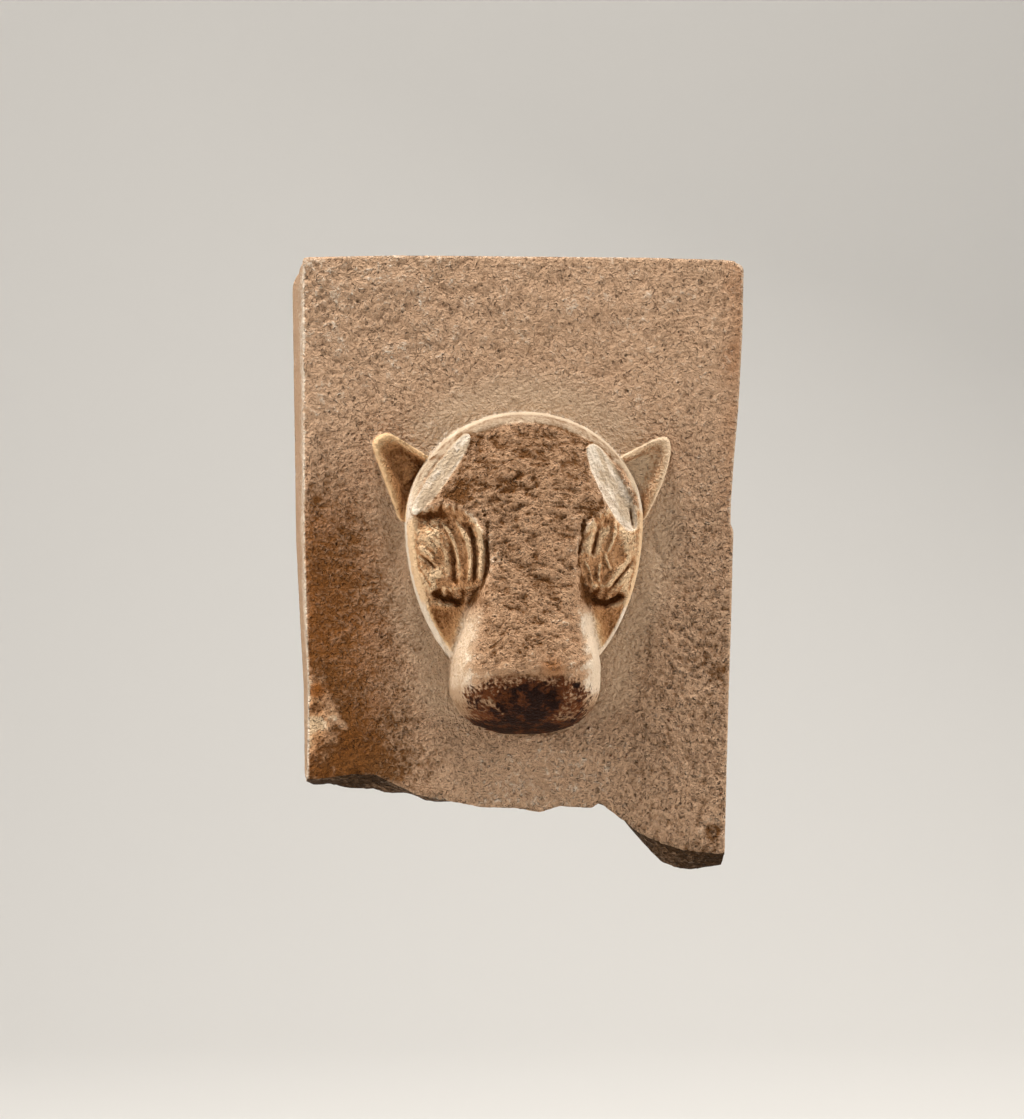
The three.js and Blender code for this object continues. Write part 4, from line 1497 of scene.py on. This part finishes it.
@dataclass(frozen=True)
class WeatheredLimestone:
    """Cream limestone, dressed with a point chisel, brown with age where nothing has worn it.

    Dry and matt: the eye gets its colour and its fine pitted grain, with no gloss except a little
    on the waxy dark stain of the muzzle. Its real grain, under a millimetre, is too fine to show,
    so it is drawn at the size that does.
    """

    tan: str = "#B59477"
    brown: str = "#644121"
    cream: str = "#DACBB8"
    rubbed: str = "#BAA78E"
    rust: str = "#8E5420"
    golden: str = "#FFE5C2"
    stain: str = "#1E0A02"
    stain_edge: str = "#5A3014"
    # Painted shade: the broken foot is coloured as dark as its shadow.
    broken: str = "#38240F"
    roughness: float = 0.86
    stain_roughness: float = 0.7
    ior: float = 1.49
    specular: float = 0.1
    blotch_mm: float = 19.0
    lump_mm: float = 7.0
    wisp_mm: float = 5.0
    peck_mm: float = 2.6
    speck_mm: float = 2.2
    speck_depth_mm: float = 3.3
    grain_mm: float = 1.3
    grain_depth_mm: float = 1.5
    wisp_stretch: tuple[float, float, float] = (0.45, 1.0, 1.0)

    def build(self) -> bpy.types.Material:
        """Make the material.

        Returns:
            The material.
        """
        material = bpy.data.materials.new("weathered_limestone")
        material.use_nodes = True
        tree = material.node_tree
        tree.nodes.clear()
        add, total = partial(add_node, tree), partial(add_up, tree)
        place = add("ShaderNodeMapping", add("ShaderNodeTexCoord", out="Object"), FAR_OFF)
        drawn = add("ShaderNodeMapping", place, links={"Scale": self.wisp_stretch})
        mask = {
            name.value: add("ShaderNodeAttribute", out="Fac", attribute_name=name.value)
            for name in Mask if name is not Mask.SOLE
        }
        noises = []
        for size, detail, vector in (
            (self.blotch_mm, 4.0, place), (self.lump_mm, 2.0, place), (self.speck_mm, 1.5, place),
            (self.grain_mm, 1.0, place), (self.wisp_mm, 2.0, drawn),
        ):
            noise = add("ShaderNodeTexNoise", links={
                "Vector": vector, "Scale": 1 / (size * MM), "Detail": detail, "Roughness": 0.6,
            })
            noises.append(total(-0.5, (noise, 1.0)))
        blotch, lump, speck, grain, wisp = noises
        furrowed, pecked, rubbed = mask["furrowed"], mask["pecked"], mask["rubbed"]
        cells = add("ShaderNodeTexVoronoi", out="Distance", links={
            "Vector": place, "Scale": 1 / (self.peck_mm * MM), "Randomness": 1.0,
        })
        random = add("ShaderNodeSeparateColor", cells.node.outputs["Color"])
        hit, chosen, crest, shown = [
            add("ShaderNodeMapRange", value, low, high, interpolation_type="SMOOTHSTEP")
            for value, low, high in (
                (cells, 0.42, 0.08), (random, 0.75, 0.95),
                (add("ShaderNodeMath", wisp, operation="ABSOLUTE"), 0.045, 0.0), (lump, -0.08, 0.14),
            )
        ]
        pits = total(0.0, (hit, chosen))
        wisps = total(0.0, (total(0.0, (crest, shown)), furrowed))
        sharp = total(0.14, (add("ShaderNodeMath", speck, operation="ABSOLUTE"), -1.6))
        speck = total(0.0, (speck, total(1.0, (furrowed, -1.0))), (sharp, furrowed))
        dressed = add("ShaderNodeClamp", add("ShaderNodeAttribute", out="Fac", attribute_name=DRESSING),
                      -1.0, 1.0)
        # The fine relief's crests are painted paler and its pecks, pits and furrows darker: partly patina,
        # partly painted light and shade.
        uneven = total(0.0, (blotch, 0.9), (lump, 0.72), (speck, 1.05), (dressed, 0.42), (grain, 1.0),
                       (wisps, 0.4), (pits, -0.2))
        tone = total(mask["tone"], (uneven, total(1.0, (rubbed, -0.5))))
        brown, pale, rusty, break_shade, stained, burnt = [
            add("ShaderNodeMapRange", value, low, high, interpolation_type="SMOOTHSTEP")
            for value, low, high in (
                (tone, 0.05, -1.1), (tone, 0.1, 1.0), (total(mask["rust"], (blotch, 0.8)), 0.1, 1.1),
                (total(speck, (blotch, 1.0)), 0.8, -0.1),
                (total(mask["stain"], (blotch, 1.4), (speck, 1.8)), 0.3, 0.8),
                (total(mask["stain"], (lump, 2.6), (speck, 1.6)), 0.45, 1.35),
            )
        ]
        dark = add("ShaderNodeMix", burnt, out=2, data_type="RGBA", links={
            6: linear(self.stain_edge), 7: linear(self.stain),
        })
        colour = linear(self.tan)
        for share, layer, blend in (
            (rubbed, linear(self.rubbed), "MIX"), (brown, linear(self.brown), "MIX"),
            (pale, linear(self.cream), "MIX"), (mask["golden"], linear(self.golden), "MULTIPLY"),
            (total(0.0, (rusty, 0.8)), linear(self.rust), "MIX"),
            # The broken foot's dark colour is painted shade.
            (total(0.0, (break_shade, mask["broken"])), linear(self.broken), "MIX"), (stained, dark, "MIX"),
        ):
            colour = add("ShaderNodeMix", share, out=2, data_type="RGBA", blend_type=blend, links={
                6: colour, 7: layer,
            })

        still = total(1.0, (rubbed, -0.8))
        rugged = total(0.0, (still, total(0.8, (pecked, 0.6))))
        dimples = total(0.0, (cells, pecked))
        relief = total(speck, (lump, 0.6), (pits, -0.15), (wisps, 0.12), (dimples, 0.35))
        normal = None
        for height, depth in (
            (total(0.0, (relief, rugged)), self.speck_depth_mm),
            (total(0.0, (grain, total(0.3, (still, 0.7)))), self.grain_depth_mm),
        ):
            links = {"Height": height, "Strength": 1.0, "Distance": depth * MM}
            normal = add("ShaderNodeBump", links=links | ({"Normal": normal} if normal else {}))
        rough = add("ShaderNodeMix", stained, links={2: self.roughness, 3: self.stain_roughness})
        shader = add("ShaderNodeBsdfPrincipled", links={
            "Base Color": colour, "Roughness": rough, "IOR": self.ior, "Specular IOR Level": self.specular,
            "Normal": normal,
        })
        add("ShaderNodeOutputMaterial", shader)
        return material


# ---- the stone ----

@dataclass
class ReliefPanel:
    """The carved stone as one closed mesh."""

    name: str = "carved_panel"
    slab: Slab = field(default_factory=Slab)
    head: Head = field(default_factory=Head)

    def build(self) -> bpy.types.Object:
        """Make the stone, dress it and tell the frame what it stands for.

        Returns:
            The piece.
        """
        points, triangles, masks = PanelMesh(self.slab, self.head).build()
        mesh = bpy.data.meshes.new(self.name)
        mesh.from_pydata((points * MM).tolist(), [], triangles.tolist())
        for mask, values in masks.items():
            attribute = mesh.attributes.new(mask.value, "FLOAT", "POINT")
            attribute.data.foreach_set("value", np.asarray(values, np.float32))
        mesh.shade_smooth()
        piece = bpy.data.objects.new(self.name, mesh)
        bpy.context.scene.collection.objects.link(piece)
        StoneDressing().apply(piece, WeatheredLimestone().build())
        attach(piece, "root")
        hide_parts("relief_panel")
        return piece


# ---- studio ----

@dataclass
class Studio:
    """Pale floor that curves up far behind the stone, soft lights, and the camera."""

    azimuth: float = -3.5
    distance: float = 2.5
    lens: float = 146.2
    aim: tuple[float, float, float] = (-0.00385, -0.064, -0.0107)
    floor: float = -0.5
    wall_at: float = 3.2
    curve: float = 1.2
    half_width: float = 5.0
    front: float = -5.0
    top: float = 3.4
    steps: int = 16

    def backdrop(self) -> bpy.types.Object:
        """Build the floor and the wall as one curved sheet.

        Returns:
            The sheet.
        """
        turn = [math.pi / 2 * i / self.steps for i in range(self.steps + 1)]
        profile = [(self.front, self.floor)]
        profile += [
            (self.wall_at + self.curve * (math.sin(t) - 1), self.floor + self.curve * (1 - math.cos(t)))
            for t in turn
        ]
        profile.append((self.wall_at, self.top))
        vertices = [(side * self.half_width, y, z) for y, z in profile for side in (-1, 1)]
        faces = [(2 * i, 2 * i + 1, 2 * i + 3, 2 * i + 2) for i in range(len(profile) - 1)]
        mesh = bpy.data.meshes.new("backdrop")
        mesh.from_pydata(vertices, [], faces)
        mesh.shade_smooth()
        material = bpy.data.materials.new("matt_paper")
        material.use_nodes = True
        shader = material.node_tree.nodes["Principled BSDF"]
        shader.inputs["Base Color"].default_value = linear("#DAD7D2")
        shader.inputs["Roughness"].default_value = 0.9
        mesh.materials.append(material)
        sheet = bpy.data.objects.new("backdrop", mesh)
        bpy.context.scene.collection.objects.link(sheet)
        return sheet

    def light(self, name: str, place: tuple[float, float, float], size: tuple[float, float], power: float,
              colour: str, target: tuple[float, float, float] = (0.0, -0.064, 0.0)) -> bpy.types.Object:
        """Add a soft light.

        Args:
            name: of the light.
            place: where it stands, in metres.
            size: of its surface, in metres.
            power: in watts.
            colour: as sRGB hex.
            target: what it looks at, the stone unless another place is given.

        Returns:
            The light.
        """
        data = bpy.data.lights.new(name, "AREA")
        data.shape = "RECTANGLE"
        data.size, data.size_y = size
        data.energy = power
        data.color = linear(colour)[:3]
        lamp = bpy.data.objects.new(name, data)
        bpy.context.scene.collection.objects.link(lamp)
        lamp.location = place
        away = [p - a for p, a in zip(place, target)]
        flat = math.hypot(away[0], away[1])
        lamp.rotation_euler = (math.atan2(flat, away[2]), 0, math.atan2(away[1], away[0]) + math.pi / 2)
        return lamp

    def build(self) -> None:
        """Set the stage, the lights, the air and the camera."""
        self.backdrop()
        self.light("top_light", (-0.22, -0.36, 1.48), (0.35, 0.15), 36, "#FFFCF8")
        self.light("left_light", (-1.5, -0.31, 0.2), (0.15, 0.4), 15, "#FFFAF3")
        self.light("right_light", (1.5, -0.33, 0.15), (0.15, 0.4), 17, "#FFFAF4")
        self.light("front_light", (-0.2, -2.1, 0.6), (1.0, 1.0), 9, "#FFFBF6")
        self.light("backdrop_light", (0.0, 1.1, 2.2), (2.4, 0.5), 30, "#FFFFFF", (0.0, 3.0, 0.2))
        self.light("rear_light", (0.9, 2.3, 1.5), (1.0, 1.0), 24, "#FFFCF8")
        world = bpy.data.worlds.new("air")
        bpy.context.scene.world = world
        world.use_nodes = True
        world.node_tree.nodes["Background"].inputs[0].default_value = linear("#E8E6E2")
        world.node_tree.nodes["Background"].inputs[1].default_value = 0.1
        data = bpy.data.cameras.new("camera")
        data.lens = self.lens
        data.sensor_width = 36
        camera = bpy.data.objects.new("camera", data)
        bpy.context.scene.collection.objects.link(camera)
        turn = math.radians(self.azimuth)
        camera.location = (
            self.aim[0] + self.distance * math.sin(turn),
            self.aim[1] - self.distance * math.cos(turn),
            self.aim[2],
        )
        camera.rotation_euler = (math.pi / 2, 0, turn)
        bpy.context.scene.camera = camera
        bpy.context.scene.view_settings.view_transform = "Standard"


def main() -> None:
    """Build the studio and the stone."""
    logging.basicConfig(level=logging.INFO, format="%(name)s: %(message)s")
    Studio().build()
    log.info("studio")
    piece = ReliefPanel().build()
    log.info("%s: %d triangles", piece.name, len(piece.data.polygons))


if __name__ == "__main__":
    main()
